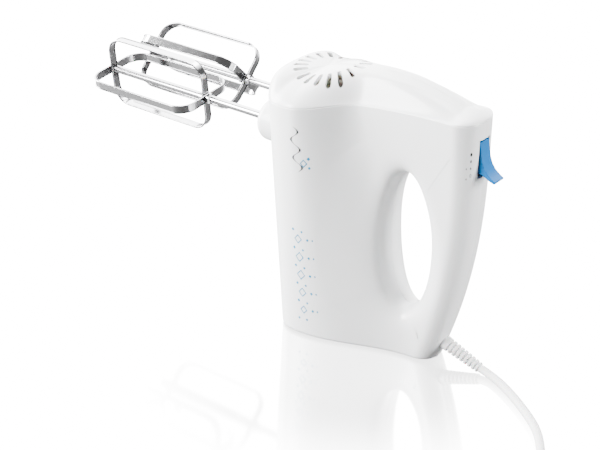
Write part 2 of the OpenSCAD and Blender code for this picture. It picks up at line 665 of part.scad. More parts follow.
housing_left();
housing_right();
top_cover();
nose_plate();
housing_screws();
beater_left_shaft();
beater_left_loops();
beater_left_tip();
beater_right_shaft();
beater_right_loops();
beater_right_tip();
gear_left();
gear_right();
front_bushes();
rear_bushes();
gear_frame();
armature_shaft();
worm();
armature_core();
armature_windings();
commutator();
fan();
stator_core();
field_coils();
motor_bracket_top();
motor_bracket_bottom();
shaft_bearing_top();
shaft_bearing_bottom();
motor_screws();
brush_holders();
carbon_brushes();
brush_springs();
speed_lever();
lever_pin();
switch_body();
switch_slider();
detent_spring();
eject_plate();
eject_springs();
speed_board();
capacitor();
cord_clamp();
clamp_screws();
strain_relief();
cord();
cord_coil();
cord_tie();
plug_body();
plug_pins();
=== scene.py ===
"""Electric hand mixer that stands on its heel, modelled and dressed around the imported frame.

Sizes are in millimetres in the frame's axes: the beaters point along -X, the grip is on the +X side, and the
heel stands on Z = 0. Meshes are scaled to metres when they are made. The camera and the cord come first.
"""

from __future__ import annotations

import json
import logging
from contextlib import contextmanager
from dataclasses import dataclass, field
from enum import Enum
from math import atan2, copysign, cos, hypot, pi, radians, sin, sqrt
from typing import Callable, Iterator, Optional, Sequence

import bpy
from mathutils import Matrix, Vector


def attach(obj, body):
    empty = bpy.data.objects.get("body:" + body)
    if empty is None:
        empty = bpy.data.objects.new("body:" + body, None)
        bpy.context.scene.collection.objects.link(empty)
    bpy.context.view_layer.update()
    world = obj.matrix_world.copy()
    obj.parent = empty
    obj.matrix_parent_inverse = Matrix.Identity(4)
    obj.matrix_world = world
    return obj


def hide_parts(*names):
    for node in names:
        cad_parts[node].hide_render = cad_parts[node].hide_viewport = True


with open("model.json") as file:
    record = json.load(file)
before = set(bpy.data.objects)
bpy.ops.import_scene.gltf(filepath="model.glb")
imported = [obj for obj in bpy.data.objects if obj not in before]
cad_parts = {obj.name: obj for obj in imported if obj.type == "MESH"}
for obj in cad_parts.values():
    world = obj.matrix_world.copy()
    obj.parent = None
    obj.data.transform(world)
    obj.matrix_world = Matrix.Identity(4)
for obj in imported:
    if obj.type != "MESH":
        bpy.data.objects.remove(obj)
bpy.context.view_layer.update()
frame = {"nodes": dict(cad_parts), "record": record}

MM = 0.001
LOG = logging.getLogger("hand_mixer")

Point = Sequence[float]
Loop = list[tuple[float, float, float]]


# ---- Helpers for shapes ----

def mix(a: float, b: float, t: float) -> float:
    """Value between a and b at the share t."""
    return a + (b - a) * t


def clip(t: float) -> float:
    """Share t held between 0 and 1."""
    return min(max(t, 0.0), 1.0)


def ease(t: float) -> float:
    """Smooth start and stop between 0 and 1."""
    return (1 - cos(pi * clip(t))) / 2


def round_off(t: float, power: float) -> float:
    """Quarter of a superellipse: 1 at t = 0, falling to 0 at t = 1."""
    return max(1 - clip(t) ** power, 0.0) ** (1 / power)


def signed_power(value: float, power: float) -> float:
    """Power of a value that keeps its sign."""
    return copysign(abs(value) ** power, value)


def round_in(gap: float, radius: float) -> float:
    """Set-back of a rounded edge at a distance from it.

    Args:
        gap: Distance from the edge.
        radius: Radius of the round.

    Returns:
        How far the surface lies back there, 0 beyond the round.
    """
    if gap >= radius:
        return 0.0
    share = 1 - max(gap, 0.0) / radius
    return radius * (1 - sqrt(max(1 - share * share, 0.0)))


# ---- Helpers for modelling ----

def deselect_all() -> None:
    """Leaves nothing selected."""
    for thing in bpy.context.selected_objects:
        thing.select_set(False)


def pick(piece: bpy.types.Object) -> None:
    """Makes one piece the only selected and the active one."""
    deselect_all()
    piece.select_set(True)
    bpy.context.view_layer.objects.active = piece


@contextmanager
def editing(piece: bpy.types.Object) -> Iterator[bpy.types.Object]:
    """Edit mode on one piece, with all of it selected."""
    pick(piece)
    bpy.ops.object.mode_set(mode="EDIT")
    bpy.ops.mesh.select_all(action="SELECT")
    yield piece
    bpy.ops.object.mode_set(mode="OBJECT")


def finish_mesh(piece: bpy.types.Object, angle: float = 35, weld: float = 0.004) -> bpy.types.Object:
    """Welds doubles, turns the faces outwards and smooths by angle.

    Args:
        piece: The mesh piece.
        angle: Edges sharper than this many degrees stay crisp.
        weld: Distance in millimetres within which points are merged.

    Returns:
        The same piece.
    """
    with editing(piece):
        bpy.ops.mesh.remove_doubles(threshold=weld * MM)
        bpy.ops.mesh.normals_make_consistent(inside=False)
    pick(piece)
    bpy.ops.object.shade_smooth_by_angle(angle=radians(angle))
    return piece


def lattice(name: str, rings: list[Loop], closed: bool = True, cap: bool = False,
            angle: float = 35) -> bpy.types.Object:
    """Surface through rings of equal length.

    Args:
        name: Name of the piece.
        rings: Closed rings of points, in millimetres.
        closed: Whether the last ring joins the first.
        cap: Whether the first and the last ring are filled.
        angle: Smoothing angle in degrees.

    Returns:
        The finished piece.
    """
    count, size = len(rings), len(rings[0])
    points = [tuple(c * MM for c in p) for ring in rings for p in ring]
    faces = [(i * size + j, i * size + (j + 1) % size,
              (i + 1) % count * size + (j + 1) % size, (i + 1) % count * size + j)
             for i in range(count if closed else count - 1) for j in range(size)]
    if cap:
        faces += [tuple(range(size)), tuple((count - 1) * size + j for j in range(size))]
    mesh = bpy.data.meshes.new(name)
    mesh.from_pydata(points, [], faces)
    piece = bpy.data.objects.new(name, mesh)
    bpy.context.collection.objects.link(piece)
    return finish_mesh(piece, angle)


def block(name: str, outline: Sequence[tuple[float, float]], low: float, high: float,
          place: Callable[[float, float, float], Point]) -> bpy.types.Object:
    """Solid pulled from a flat outline by extrusion.

    Args:
        name: Name of the piece.
        outline: Corners (u, v) of the outline.
        low: Where the extrusion starts.
        high: Where it ends.
        place: Turns (u, v, w) into a point of the frame.

    Returns:
        The solid, with crisp edges.
    """
    deselect_all()
    bpy.ops.mesh.primitive_circle_add(vertices=len(outline), fill_type="NGON")
    piece = bpy.context.object
    piece.name = piece.data.name = name
    for vertex, (u, v) in zip(piece.data.vertices, outline):
        vertex.co = Vector(place(u, v, low)) * MM
    u, v = outline[0]
    step = (Vector(place(u, v, high)) - Vector(place(u, v, low))) * MM
    with editing(piece):
        bpy.ops.mesh.extrude_region_move(TRANSFORM_OT_translate={"value": step})
    return finish_mesh(piece, 25)


def bevelled(piece: bpy.types.Object, width: float, steps: int = 3, angle: float = 35) -> bpy.types.Object:
    """Rounds every edge sharper than an angle, and applies it.

    Args:
        piece: The solid.
        width: Width of the round in millimetres.
        steps: Segments over the round.
        angle: Sharpness in degrees from which an edge is rounded.

    Returns:
        The same piece, smoothed.
    """
    pick(piece)
    rounding = piece.modifiers.new("round", "BEVEL")
    rounding.width, rounding.segments, rounding.limit_method = width * MM, steps, "ANGLE"
    rounding.angle_limit, rounding.use_clamp_overlap = radians(angle), True
    bpy.ops.object.modifier_apply(modifier=rounding.name)
    bpy.ops.object.shade_smooth_by_angle(angle=radians(40))
    return piece


def turned(name: str, profile: Sequence[tuple[float, float]], centre: Point, axis: Point,
           steps: int = 48, angle: float = 35) -> bpy.types.Object:
    """Solid of revolution, spun in edit mode.

    Args:
        name: Name of the piece.
        profile: Points (distance along the axis, radius); it starts and ends on the axis or closes on itself.
        centre: Point of the axis at distance 0.
        axis: Direction of the axis.
        steps: Segments round the axis.
        angle: Smoothing angle in degrees.

    Returns:
        The finished piece.
    """
    along = Vector(axis).normalized()
    out = along.orthogonal().normalized()
    base = Vector(centre)
    mesh = bpy.data.meshes.new(name)
    points = [(base + along * h + out * r) * MM for h, r in profile]
    mesh.from_pydata(points, [(i, i + 1) for i in range(len(points) - 1)], [])
    piece = bpy.data.objects.new(name, mesh)
    bpy.context.collection.objects.link(piece)
    with editing(piece):
        bpy.ops.mesh.spin(steps=steps, angle=2 * pi, center=base * MM, axis=along)
    return finish_mesh(piece, angle, 0.002)


def joined(name: str, pieces: Sequence[bpy.types.Object]) -> bpy.types.Object:
    """Several pieces made one mesh.

    Args:
        name: Name of the result.
        pieces: The pieces; the first one stays.

    Returns:
        The joined piece.
    """
    deselect_all()
    for piece in pieces:
        piece.select_set(True)
    bpy.context.view_layer.objects.active = pieces[0]
    bpy.ops.object.join()
    pieces[0].name = pieces[0].data.name = name
    return pieces[0]


def cut(piece: bpy.types.Object, cutters: Sequence[bpy.types.Object], angle: float = 35) -> bpy.types.Object:
    """Takes closed cutters out of a piece and deletes them.

    Args:
        piece: The piece.
        cutters: Closed shapes, taken out one by one.
        angle: Smoothing angle in degrees.

    Returns:
        The same piece.
    """
    for cutter in cutters:
        pick(piece)
        hole = piece.modifiers.new("hole", "BOOLEAN")
        hole.operation, hole.solver, hole.object = "DIFFERENCE", "EXACT", cutter
        hole.use_hole_tolerant = True
        bpy.ops.object.modifier_apply(modifier=hole.name)
        bpy.data.objects.remove(cutter)
    pick(piece)
    bpy.ops.object.shade_smooth_by_angle(angle=radians(angle))
    return piece


# ---- Finishes ----

class Slot(Enum):
    """Material slots of the record."""

    BODY = "body_white"
    SCREW = "zinc_screw"
    CHROME = "chrome"
    NYLON = "gear_nylon"
    BRONZE = "bronze"
    BLACK = "dark_plastic"
    STEEL = "steel"
    LAMINATION = "lamination"
    COPPER = "copper"
    CARBON = "carbon"
    LEVER = "lever_blue"
    SLIDER = "switch_red"
    BOARD = "board_green"
    FILM = "film_yellow"
    CORD = "cord_white"
    TIE = "tie_grey"
    PIN = "nickel_pin"


class Pattern(Enum):
    """What the surface of a finish shows from close by."""

    GRAIN = "grain"
    BRUSHED = "brushed"
    SHEETS = "sheets"
    WIRE = "wire"


Colour = tuple[float, float, float]


@dataclass(frozen=True)
class Finish:
    """One material, made from a shared pattern group and one shader.

    Attributes:
        name: Name of the material.
        light: Colour where the pattern is high.
        dark: Colour where the pattern is low.
        gloss: Lowest and highest roughness.
        metallic: 1 for a bare metal.
        pattern: Which pattern group gives the tone and the height.
        scale: Scale of the pattern, per metre.
        stretch: Stretch of the pattern along X, Y and Z.
        depth: Depth of the bump in millimetres.
        coat: Weight of the clear coat.
        coat_roughness: Roughness of the clear coat.
        subsurface: Weight of the light that passes under the surface.
        specular: Level of the plain shine, 0.5 for an ordinary plastic.
    """

    name: str
    light: Colour
    dark: Colour
    gloss: tuple[float, float]
    metallic: float = 0.0
    pattern: Pattern = Pattern.GRAIN
    scale: float = 60.0
    stretch: tuple[float, float, float] = (1, 1, 1)
    depth: float = 0.02
    coat: float = 0.0
    coat_roughness: float = 0.15
    subsurface: float = 0.0
    specular: float = 0.4

    def build(self) -> bpy.types.Material:
        """Makes the material, or gives the one that is already made."""
        made = bpy.data.materials.get(self.name)
        if made:
            return made
        material = bpy.data.materials.new(self.name)
        material.use_nodes = True
        nodes, links = material.node_tree.nodes, material.node_tree.links
        shader = nodes["Principled BSDF"]
        shader.inputs["Metallic"].default_value = self.metallic
        shader.inputs["Coat Weight"].default_value = self.coat
        shader.inputs["Coat Roughness"].default_value = self.coat_roughness
        shader.inputs["Specular IOR Level"].default_value = self.specular
        shader.inputs["Subsurface Weight"].default_value = self.subsurface
        shader.inputs["Subsurface Scale"].default_value = 2 * MM
        place = nodes.new("ShaderNodeTexCoord")
        turn = nodes.new("ShaderNodeMapping")
        turn.inputs["Scale"].default_value = self.stretch
        group = nodes.new("ShaderNodeGroup")
        group.node_tree = pattern_group(self.pattern)
        group.inputs["Scale"].default_value = self.scale
        tone = nodes.new("ShaderNodeMix")
        tone.data_type = "RGBA"
        tone.inputs["A"].default_value = (*self.dark, 1)
        tone.inputs["B"].default_value = (*self.light, 1)
        rough = nodes.new("ShaderNodeMapRange")
        rough.inputs["To Min"].default_value, rough.inputs["To Max"].default_value = self.gloss
        bump = nodes.new("ShaderNodeBump")
        bump.inputs["Distance"].default_value = self.depth * MM
        bump.inputs["Strength"].default_value = 0.6
        links.new(place.outputs["Object"], turn.inputs["Vector"])
        links.new(turn.outputs["Vector"], group.inputs["Vector"])
        links.new(group.outputs["Tone"], tone.inputs["Factor"])
        links.new(group.outputs["Smudge"], rough.inputs["Value"])
        links.new(group.outputs["Height"], bump.inputs["Height"])
        links.new(tone.outputs["Result"], shader.inputs["Base Color"])
        links.new(rough.outputs["Result"], shader.inputs["Roughness"])
        links.new(bump.outputs["Normal"], shader.inputs["Normal"])
        return material


def pattern_group(pattern: Pattern) -> bpy.types.NodeTree:
    """Shared node group of a pattern: its tone, smudges and height.

    Args:
        pattern: Which pattern the group draws.

    Returns:
        The group, built once.
    """
    name = f"pattern_{pattern.value}"
    made = bpy.data.node_groups.get(name)
    if made:
        return made
    tree = bpy.data.node_groups.new(name, "ShaderNodeTree")
    tree.interface.new_socket("Vector", in_out="INPUT", socket_type="NodeSocketVector")
    tree.interface.new_socket("Scale", in_out="INPUT", socket_type="NodeSocketFloat")
    for out in ("Tone", "Smudge", "Height"):
        tree.interface.new_socket(out, in_out="OUTPUT", socket_type="NodeSocketFloat")
    nodes, links = tree.nodes, tree.links
    inlet, outlet = nodes.new("NodeGroupInput"), nodes.new("NodeGroupOutput")

    def noise(scale: float, detail: float, vector: bpy.types.NodeSocket) -> bpy.types.NodeSocket:
        """Noise at a multiple of the group's scale.

        Args:
            scale: Multiple of the scale.
            detail: Octaves of the noise.
            vector: Where it is read.

        Returns:
            The noise's output.
        """
        times = nodes.new("ShaderNodeMath")
        times.operation = "MULTIPLY"
        times.inputs[1].default_value = scale
        links.new(inlet.outputs["Scale"], times.inputs[0])
        cloud = nodes.new("ShaderNodeTexNoise")
        cloud.inputs["Detail"].default_value = detail
        links.new(vector, cloud.inputs["Vector"])
        links.new(times.outputs[0], cloud.inputs["Scale"])
        return cloud.outputs["Fac"]

    def waves(direction: str, share: float) -> bpy.types.NodeSocket:
        """Fine bands across one axis.

        Args:
            direction: Axis of the bands.
            share: How much they waver.

        Returns:
            The bands' output.
        """
        bands = nodes.new("ShaderNodeTexWave")
        bands.bands_direction = direction
        bands.inputs["Distortion"].default_value = share
        bands.inputs["Detail Scale"].default_value = 0.4
        links.new(inlet.outputs["Vector"], bands.inputs["Vector"])
        links.new(inlet.outputs["Scale"], bands.inputs["Scale"])
        return bands.outputs["Fac"]

    here = inlet.outputs["Vector"]
    if pattern is Pattern.GRAIN:
        height, tone = noise(16, 3, here), noise(1, 4, here)
    elif pattern is Pattern.BRUSHED:
        lines = nodes.new("ShaderNodeMapping")
        lines.inputs["Scale"].default_value = (0.05, 1, 1)
        links.new(here, lines.inputs["Vector"])
        height = noise(14, 4, lines.outputs["Vector"])
        tone = height
    elif pattern is Pattern.SHEETS:
        height = waves("Z", 0.3)
        tone = height
    else:
        height = waves("Y", 0.6)
        tone = height
    links.new(tone, outlet.inputs["Tone"])
    links.new(noise(1.5, 5, here), outlet.inputs["Smudge"])
    links.new(height, outlet.inputs["Height"])
    return tree


FINISHES: dict[Slot, Finish] = {
    Slot.BODY: Finish("gloss_white", (0.84, 0.845, 0.85), (0.80, 0.805, 0.81), (0.26, 0.36), scale=30,
                      depth=0.015, coat=0.25, coat_roughness=0.12, subsurface=0.05),
    Slot.SCREW: Finish("zinc_plate", (0.66, 0.67, 0.68), (0.45, 0.46, 0.48), (0.28, 0.5), 1.0,
                       Pattern.BRUSHED, 200),
    Slot.CHROME: Finish("polished_chrome", (0.50, 0.50, 0.51), (0.38, 0.38, 0.39), (0.06, 0.17), 1.0,
                        Pattern.BRUSHED, 160, depth=0.004),
    Slot.NYLON: Finish("natural_nylon", (0.82, 0.80, 0.71), (0.74, 0.71, 0.60), (0.42, 0.58), scale=90,
                       subsurface=0.15),
    Slot.BRONZE: Finish("sintered_bronze", (0.62, 0.42, 0.23), (0.40, 0.25, 0.12), (0.35, 0.6), 1.0,
                        scale=400, depth=0.03),
    Slot.BLACK: Finish("filled_black", (0.045, 0.046, 0.05), (0.022, 0.022, 0.024), (0.45, 0.65), scale=150,
                       depth=0.04),
    Slot.STEEL: Finish("ground_steel", (0.60, 0.61, 0.62), (0.42, 0.43, 0.44), (0.2, 0.38), 1.0,
                       Pattern.BRUSHED, 260),
    Slot.LAMINATION: Finish("stacked_sheets", (0.34, 0.35, 0.37), (0.12, 0.12, 0.13), (0.35, 0.55), 0.8,
                            Pattern.SHEETS, 310, depth=0.12),
    Slot.COPPER: Finish("wound_copper", (0.62, 0.26, 0.09), (0.22, 0.07, 0.02), (0.2, 0.38), 0.8,
                        Pattern.WIRE, 260, depth=0.18, coat=0.4),
    Slot.CARBON: Finish("pressed_carbon", (0.045, 0.045, 0.045), (0.012, 0.012, 0.012), (0.5, 0.8), scale=300,
                        depth=0.05),
    Slot.LEVER: Finish("sky_blue", (0.001, 0.115, 0.34), (0.001, 0.105, 0.31), (0.3, 0.38), scale=40,
                       depth=0.01, specular=0.12),
    Slot.SLIDER: Finish("signal_red", (0.60, 0.09, 0.03), (0.45, 0.05, 0.02), (0.4, 0.55), scale=80),
    Slot.BOARD: Finish("green_board", (0.03, 0.22, 0.08), (0.015, 0.13, 0.05), (0.25, 0.42), scale=220),
    Slot.FILM: Finish("film_case", (0.80, 0.56, 0.05), (0.70, 0.44, 0.03), (0.3, 0.45), scale=120),
    Slot.CORD: Finish("soft_white", (0.80, 0.80, 0.80), (0.72, 0.72, 0.72), (0.42, 0.55), scale=110,
                      depth=0.03, subsurface=0.1),
    Slot.TIE: Finish("grey_tie", (0.18, 0.19, 0.20), (0.12, 0.12, 0.13), (0.45, 0.6), scale=200, depth=0.05),
    Slot.PIN: Finish("nickel_plate", (0.74, 0.72, 0.66), (0.55, 0.53, 0.48), (0.16, 0.32), 1.0,
                     Pattern.BRUSHED, 240),
}
INK_BLUE = Finish("blue_ink", (0.02, 0.24, 0.42), (0.016, 0.21, 0.38), (0.4, 0.5), scale=300, depth=0.002)
INK_GREY = Finish("grey_ink", (0.035, 0.036, 0.04), (0.025, 0.026, 0.03), (0.4, 0.5), scale=300, depth=0.002)


def dress(piece: bpy.types.Object, slot: Slot, finish: Optional[Finish] = None) -> None:
    """Gives a piece one material.

    Args:
        piece: The piece.
        slot: The record's slot that it belongs to.
        finish: Another finish than the slot's own.
    """
    piece.data.materials.clear()
    piece.data.materials.append((finish or FINISHES[slot]).build())


def put(piece: bpy.types.Object, slot: Slot, body: str = "housing", replaces: Sequence[str] = (),
        finish: Optional[Finish] = None) -> bpy.types.Object:
    """Dresses a piece, fixes it to its body and reports it.

    Args:
        piece: The finished piece.
        slot: The record's slot for it.
        body: Body that it rides on.
        replaces: CAD nodes that it stands for.
        finish: Another finish than the slot's own.

    Returns:
        The same piece.
    """
    dress(piece, slot, finish)
    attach(piece, body)
    if replaces:
        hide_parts(*replaces)
    size = [round(c / MM, 1) for c in piece.dimensions]
    LOG.info("%s rides on %s, %s mm", piece.name, body, size)
    return piece


# ---- Studio ----

def set_range(node: bpy.types.Node, span: tuple[float, float], result: tuple[float, float]) -> None:
    """Makes a Map Range node a smooth step.

    Args:
        node: The node.
        span: Where the input starts and ends.
        result: What comes out there.
    """
    node.interpolation_type = "SMOOTHSTEP"
    for socket, value in zip(("From Min", "From Max", "To Min", "To Max"), (*span, *result)):
        node.inputs[socket].default_value = value


@dataclass
class Studio:
    """Camera, floor and soft light.

    Attributes:
        target: Point that the camera looks at, in millimetres.
        azimuth: Turn of the camera round the object, in degrees.
        elevation: Angle of the camera above the floor, in degrees.
        distance: From the target to the camera, in millimetres.
        lens: Focal length in millimetres.
        floor_half: Half the side of the floor, in metres.
        floor_glow: Emission of the floor towards the camera.
        floor_mirror: Share of the mirror image under the object.
        mirror_centre: Middle of the mirror image, in metres.
        mirror_fade: Distances from there between which it fades, in metres.
        sky: Strength of the world light.
        backdrop: Strength of the bright side that only reflections see.
        backdrop_span: Where the bright side starts and where it is full.
        aim: Point that the softboxes face, in metres.
        boxes: Name, place and size in metres, and power in watts of each softbox.
    """

    target: Point = (-0.335, 0.0, 58.247)
    azimuth: float = 38.07
    elevation: float = 27.88
    distance: float = 976.09
    lens: float = 88.74
    floor_half: float = 6.0
    floor_glow: float = 17.0
    floor_mirror: float = 0.8
    mirror_centre: Point = (0.07, -0.03, 0)
    mirror_fade: tuple[float, float] = (0.06, 0.17)
    sky: float = 0.22
    backdrop: float = 17.0
    backdrop_span: tuple[float, float] = (0.35, 0.8)
    aim: Point = (0.03, 0, 0.1)
    boxes: tuple = (("key", (-1.15, -0.35, 0.45), (0.6, 0.9), 92),
                    ("fill", (-0.8, -1.25, 0.75), (0.7, 0.9), 125),
                    ("back", (1.2, 0.42, 0.35), (0.3, 0.9), 42),
                    ("top", (-0.1, 0.3, 1.3), (0.9, 0.9), 36))

    def away(self) -> Vector:
        """Direction from the target to the camera."""
        azimuth, elevation = radians(self.azimuth), radians(self.elevation)
        return Vector((sin(azimuth) * cos(elevation), -cos(azimuth) * cos(elevation), sin(elevation)))

    def camera(self) -> None:
        """Adds the camera and makes it the scene's."""
        data = bpy.data.cameras.new("camera")
        data.lens, data.sensor_width = self.lens, 36
        eye = bpy.data.objects.new("camera", data)
        bpy.context.collection.objects.link(eye)
        eye.location = (Vector(self.target) + self.away() * self.distance) * MM
        eye.rotation_euler = self.away().to_track_quat("Z", "Y").to_euler()
        bpy.context.scene.camera = eye

    def softbox(self, name: str, place: Point, aim: Point, size: tuple[float, float], power: float) -> None:
        """Adds one rectangular soft light.

        Args:
            name: Name of the light.
            place: Where it stands, in metres.
            aim: Point that it faces, in metres.
            size: Width and height in metres.
            power: Power in watts.
        """
        data = bpy.data.lights.new(name, "AREA")
        data.shape, data.size, data.size_y, data.energy = "RECTANGLE", size[0], size[1], power
        lamp = bpy.data.objects.new(name, data)
        bpy.context.collection.objects.link(lamp)
        lamp.location = place
        lamp.rotation_euler = (Vector(place) - Vector(aim)).to_track_quat("Z", "Y").to_euler()

    def floor(self) -> None:
        """Adds the pale floor with a faint mirror image."""
        deselect_all()
        bpy.ops.mesh.primitive_plane_add(size=2 * self.floor_half)
        plane = bpy.context.object
        plane.name = plane.data.name = "floor"
        plane.location.z = -0.0004
        material = bpy.data.materials.new("floor_white")
        material.use_nodes = True
        nodes, links = material.node_tree.nodes, material.node_tree.links
        shader = nodes["Principled BSDF"]
        shader.inputs["Base Color"].default_value = (0.03, 0.03, 0.03, 1)
        shader.inputs["Roughness"].default_value = 0.6
        shader.inputs["Emission Color"].default_value = (1, 1, 1, 1)
        ray, glow = nodes.new("ShaderNodeLightPath"), nodes.new("ShaderNodeMath")
        glow.operation = "MULTIPLY"
        glow.inputs[1].default_value = self.floor_glow
        links.new(ray.outputs["Is Camera Ray"], glow.inputs[0])
        links.new(glow.outputs[0], shader.inputs["Emission Strength"])
        mirror, mix_shader = nodes.new("ShaderNodeBsdfGlossy"), nodes.new("ShaderNodeMixShader")
        mirror.inputs["Color"].default_value = (1, 1, 1, 1)
        mirror.inputs["Roughness"].default_value = 0.07
        kinds = ("TexCoord", "VectorMath", "MapRange")
        where, near, fade = (nodes.new(f"ShaderNode{kind}") for kind in kinds)
        near.operation = "DISTANCE"
        near.inputs[1].default_value = self.mirror_centre
        set_range(fade, self.mirror_fade, (self.floor_mirror, 0))
        links.new(where.outputs["Object"], near.inputs[0])
        links.new(near.outputs["Value"], fade.inputs["Value"])
        seen = nodes.new("ShaderNodeMath")
        seen.operation = "MULTIPLY"
        links.new(fade.outputs["Result"], seen.inputs[0])
        links.new(ray.outputs["Is Camera Ray"], seen.inputs[1])
        links.new(seen.outputs[0], mix_shader.inputs["Fac"])
        links.new(shader.outputs[0], mix_shader.inputs[1])
        links.new(mirror.outputs[0], mix_shader.inputs[2])
        links.new(mix_shader.outputs[0], nodes["Material Output"].inputs["Surface"])
        plane.data.materials.append(material)

    def light(self) -> None:
        """Adds the world light and the softboxes."""
        world = bpy.data.worlds.new("studio")
        bpy.context.scene.world = world
        world.use_nodes = True
        nodes, links = world.node_tree.nodes, world.node_tree.links
        back = nodes["Background"]
        back.inputs["Color"].default_value = (1, 1, 1, 1)
        kinds = ("LightPath", "TexCoord", "VectorMath")
        ray, where, facing = (nodes.new(f"ShaderNode{kind}") for kind in kinds)
        facing.operation = "DOT_PRODUCT"
        facing.inputs[1].default_value = (-self.away().x, -self.away().y, 0.45)
        spread, power = nodes.new("ShaderNodeMapRange"), nodes.new("ShaderNodeMath")
        set_range(spread, self.backdrop_span, (0, self.backdrop))
        power.operation = "MULTIPLY_ADD"
        power.inputs[2].default_value = self.sky
        links.new(where.outputs["Generated"], facing.inputs[0])
        links.new(facing.outputs["Value"], spread.inputs["Value"])
        links.new(spread.outputs["Result"], power.inputs[0])
        links.new(ray.outputs["Is Glossy Ray"], power.inputs[1])
        links.new(power.outputs[0], back.inputs["Strength"])
        for name, place, size, watts in self.boxes:
            self.softbox(name, place, self.aim, size, watts)


# ---- Cord ----

@dataclass
class MainsCord:
    """Lead with its strain relief, coil, tie and plug."""

    diameter: float = 5.4
    route: tuple = ((142, 0, 3.9), (148, -0.8, 3), (154, -2.6, 2.7), (161, -5.6, 2.7), (168, -9.4, 2.7),
                    (176, -14.2, 2.7), (184, -19.6, 2.7), (192, -25.4, 2.7), (200, -32, 2.7),
                    (207, -39.5, 2.7), (213.5, -48.5, 2.7), (220, -58.5, 2.7), (227.5, -69, 2.7),
                    (237, -79, 2.7), (249, -87.5, 2.8), (262, -92.8, 3.1), (274, -94.8, 3.5), (285, -95, 3.5))
    centre: tuple[float, float] = (285, -58)
    outer_turn: float = 37
    layer_z: float = 3.5
    turns: float = 4.25
    tail: tuple = ((319.3, -50, 7.5), (319.3, -42, 6), (319.3, -34, 4.7), (319.3, -25, 4.3),
                   (319.3, -16, 4.3))
    relief_tilt: float = 19
    relief_length: float = 28
    plug_at: tuple[float, float, float] = (319.3, -16, 7)
    plug_length: float = 36
    plug_width: float = 26
    plug_thickness: float = 13.7

    def coil_point(self, turn: float) -> tuple[float, float, float]:
        """Point of the coil after a number of turns.

        The turns lie side by side in the lower layer, and the later ones in the grooves between them. All the
        lower turns step inwards in the last sixth of a turn, and the upper ones climb in the sixth before it.

        Args:
            turn: Turns since the start of the coil.

        Returns:
            The point, in millimetres.
        """
        d, groove = self.diameter, self.diameter / 2
        count, sixth = int(turn), turn % 1 * 6
        step, climb = ease(sixth - 5), ease(sixth - 4)
        inner = self.outer_turn - 2 * d
        top = self.layer_z + d * sin(radians(60))
        if count < 2:
            radius, z = self.outer_turn - d * (count + step), self.layer_z
        elif count == 2 and sixth < 4:
            radius, z = inner, self.layer_z
        elif count > 3 or sixth < 4:
            radius, z = inner + groove + d * (count - 3), top
        elif sixth < 5:
            lift = radians(60 * (climb + count - 2))
            radius, z = inner + d - d * cos(lift), self.layer_z + d * sin(lift)
        else:
            radius = inner + groove + d * (count - 2)
            z = self.layer_z + sqrt(d * d - (groove - d * step) ** 2)
        angle = 1.5 * pi + 2 * pi * turn
        return (self.centre[0] + radius * cos(angle), self.centre[1] + radius * sin(angle), z)

    def path(self) -> Loop:
        """Whole centreline from the strain relief to the plug."""
        steps = 60
        coil = [self.coil_point(k / steps) for k in range(1, int(self.turns * steps) + 1)]
        return smooth_line(self.route, 5) + coil + smooth_line([coil[-1], *self.tail], 4)[1:]

    def build(self) -> None:
        """Makes the lead and all that is on it."""
        line = self.path()
        lead = self.curve("mains_cord", line)
        tie, plug = self.tie(), self.plug()
        put(lead, Slot.CORD, replaces=("cord", "cord_coil"))
        self.relief()
        self.inner_lead()

    def curve(self, name: str, line: Loop) -> bpy.types.Object:
        """Round cord along one open spline.

        Args:
            name: Name of the piece.
            line: Centreline in millimetres.

        Returns:
            The curve object.
        """
        data = bpy.data.curves.new(name, "CURVE")
        data.dimensions, data.bevel_depth, data.bevel_resolution = "3D", self.diameter / 2 * MM, 4
        data.use_fill_caps = True
        spline = data.splines.new("POLY")
        spline.points.add(len(line) - 1)
        for point, place in zip(spline.points, line):
            point.co = (*(c * MM for c in place), 1)
        spline.use_smooth = True
        piece = bpy.data.objects.new(name, data)
        bpy.context.collection.objects.link(piece)
        return piece

    def relief_axis(self) -> Point:
        """Direction in which the lead leaves the grip."""
        tilt = radians(self.relief_tilt)
        return (cos(tilt), 0, -sin(tilt))

    def relief(self) -> None:
        """Ribbed, tapered sleeve where the lead leaves the grip."""
        ribs, pitch, groove, bore = 8, 3.0, 1.1, 2.75
        root, flange = 4.7, 6.4
        profile = [(0.0, bore), (0.0, 3.3), (-0.3, 3.5)]
        for k in range(ribs):
            start, radius = -1 - pitch * k, mix(3.55, 4.6, k / ribs)
            profile += [(start, radius), (start - 0.2, radius - groove), (start - 1.3, radius - groove),
                        (start - 1.5, radius - 0.1), (start - 1.7, radius + 0.05),
                        (start - pitch + 0.25, radius + 0.1)]
        profile += [(-self.relief_length + 1, root), (-34, root), (-34, flange), (-36, flange), (-36, bore),
                    (0.0, bore)]
        sleeve = turned("strain_relief_sleeve", profile, self.route[0], self.relief_axis(), 40, 28)
        put(sleeve, Slot.CORD, replaces=("strain_relief",))

    def inner_lead(self) -> None:
        """Straight end of the lead inside the grip."""
        radius = self.diameter / 2
        profile = [(-52, 0), (-52, radius - 0.4), (-51.6, radius), (-0.7, radius), (-0.5, 0)]
        put(turned("inner_lead", profile, self.route[0], self.relief_axis(), 24), Slot.CORD)

    def tie(self) -> bpy.types.Object:
        """Coated band that holds the coil."""
        radius = self.outer_turn - self.diameter
        half_w, low, high = 9.0, 0.05, 11.75
        centre_y, middle = self.centre[1] + radius, self.centre[0]

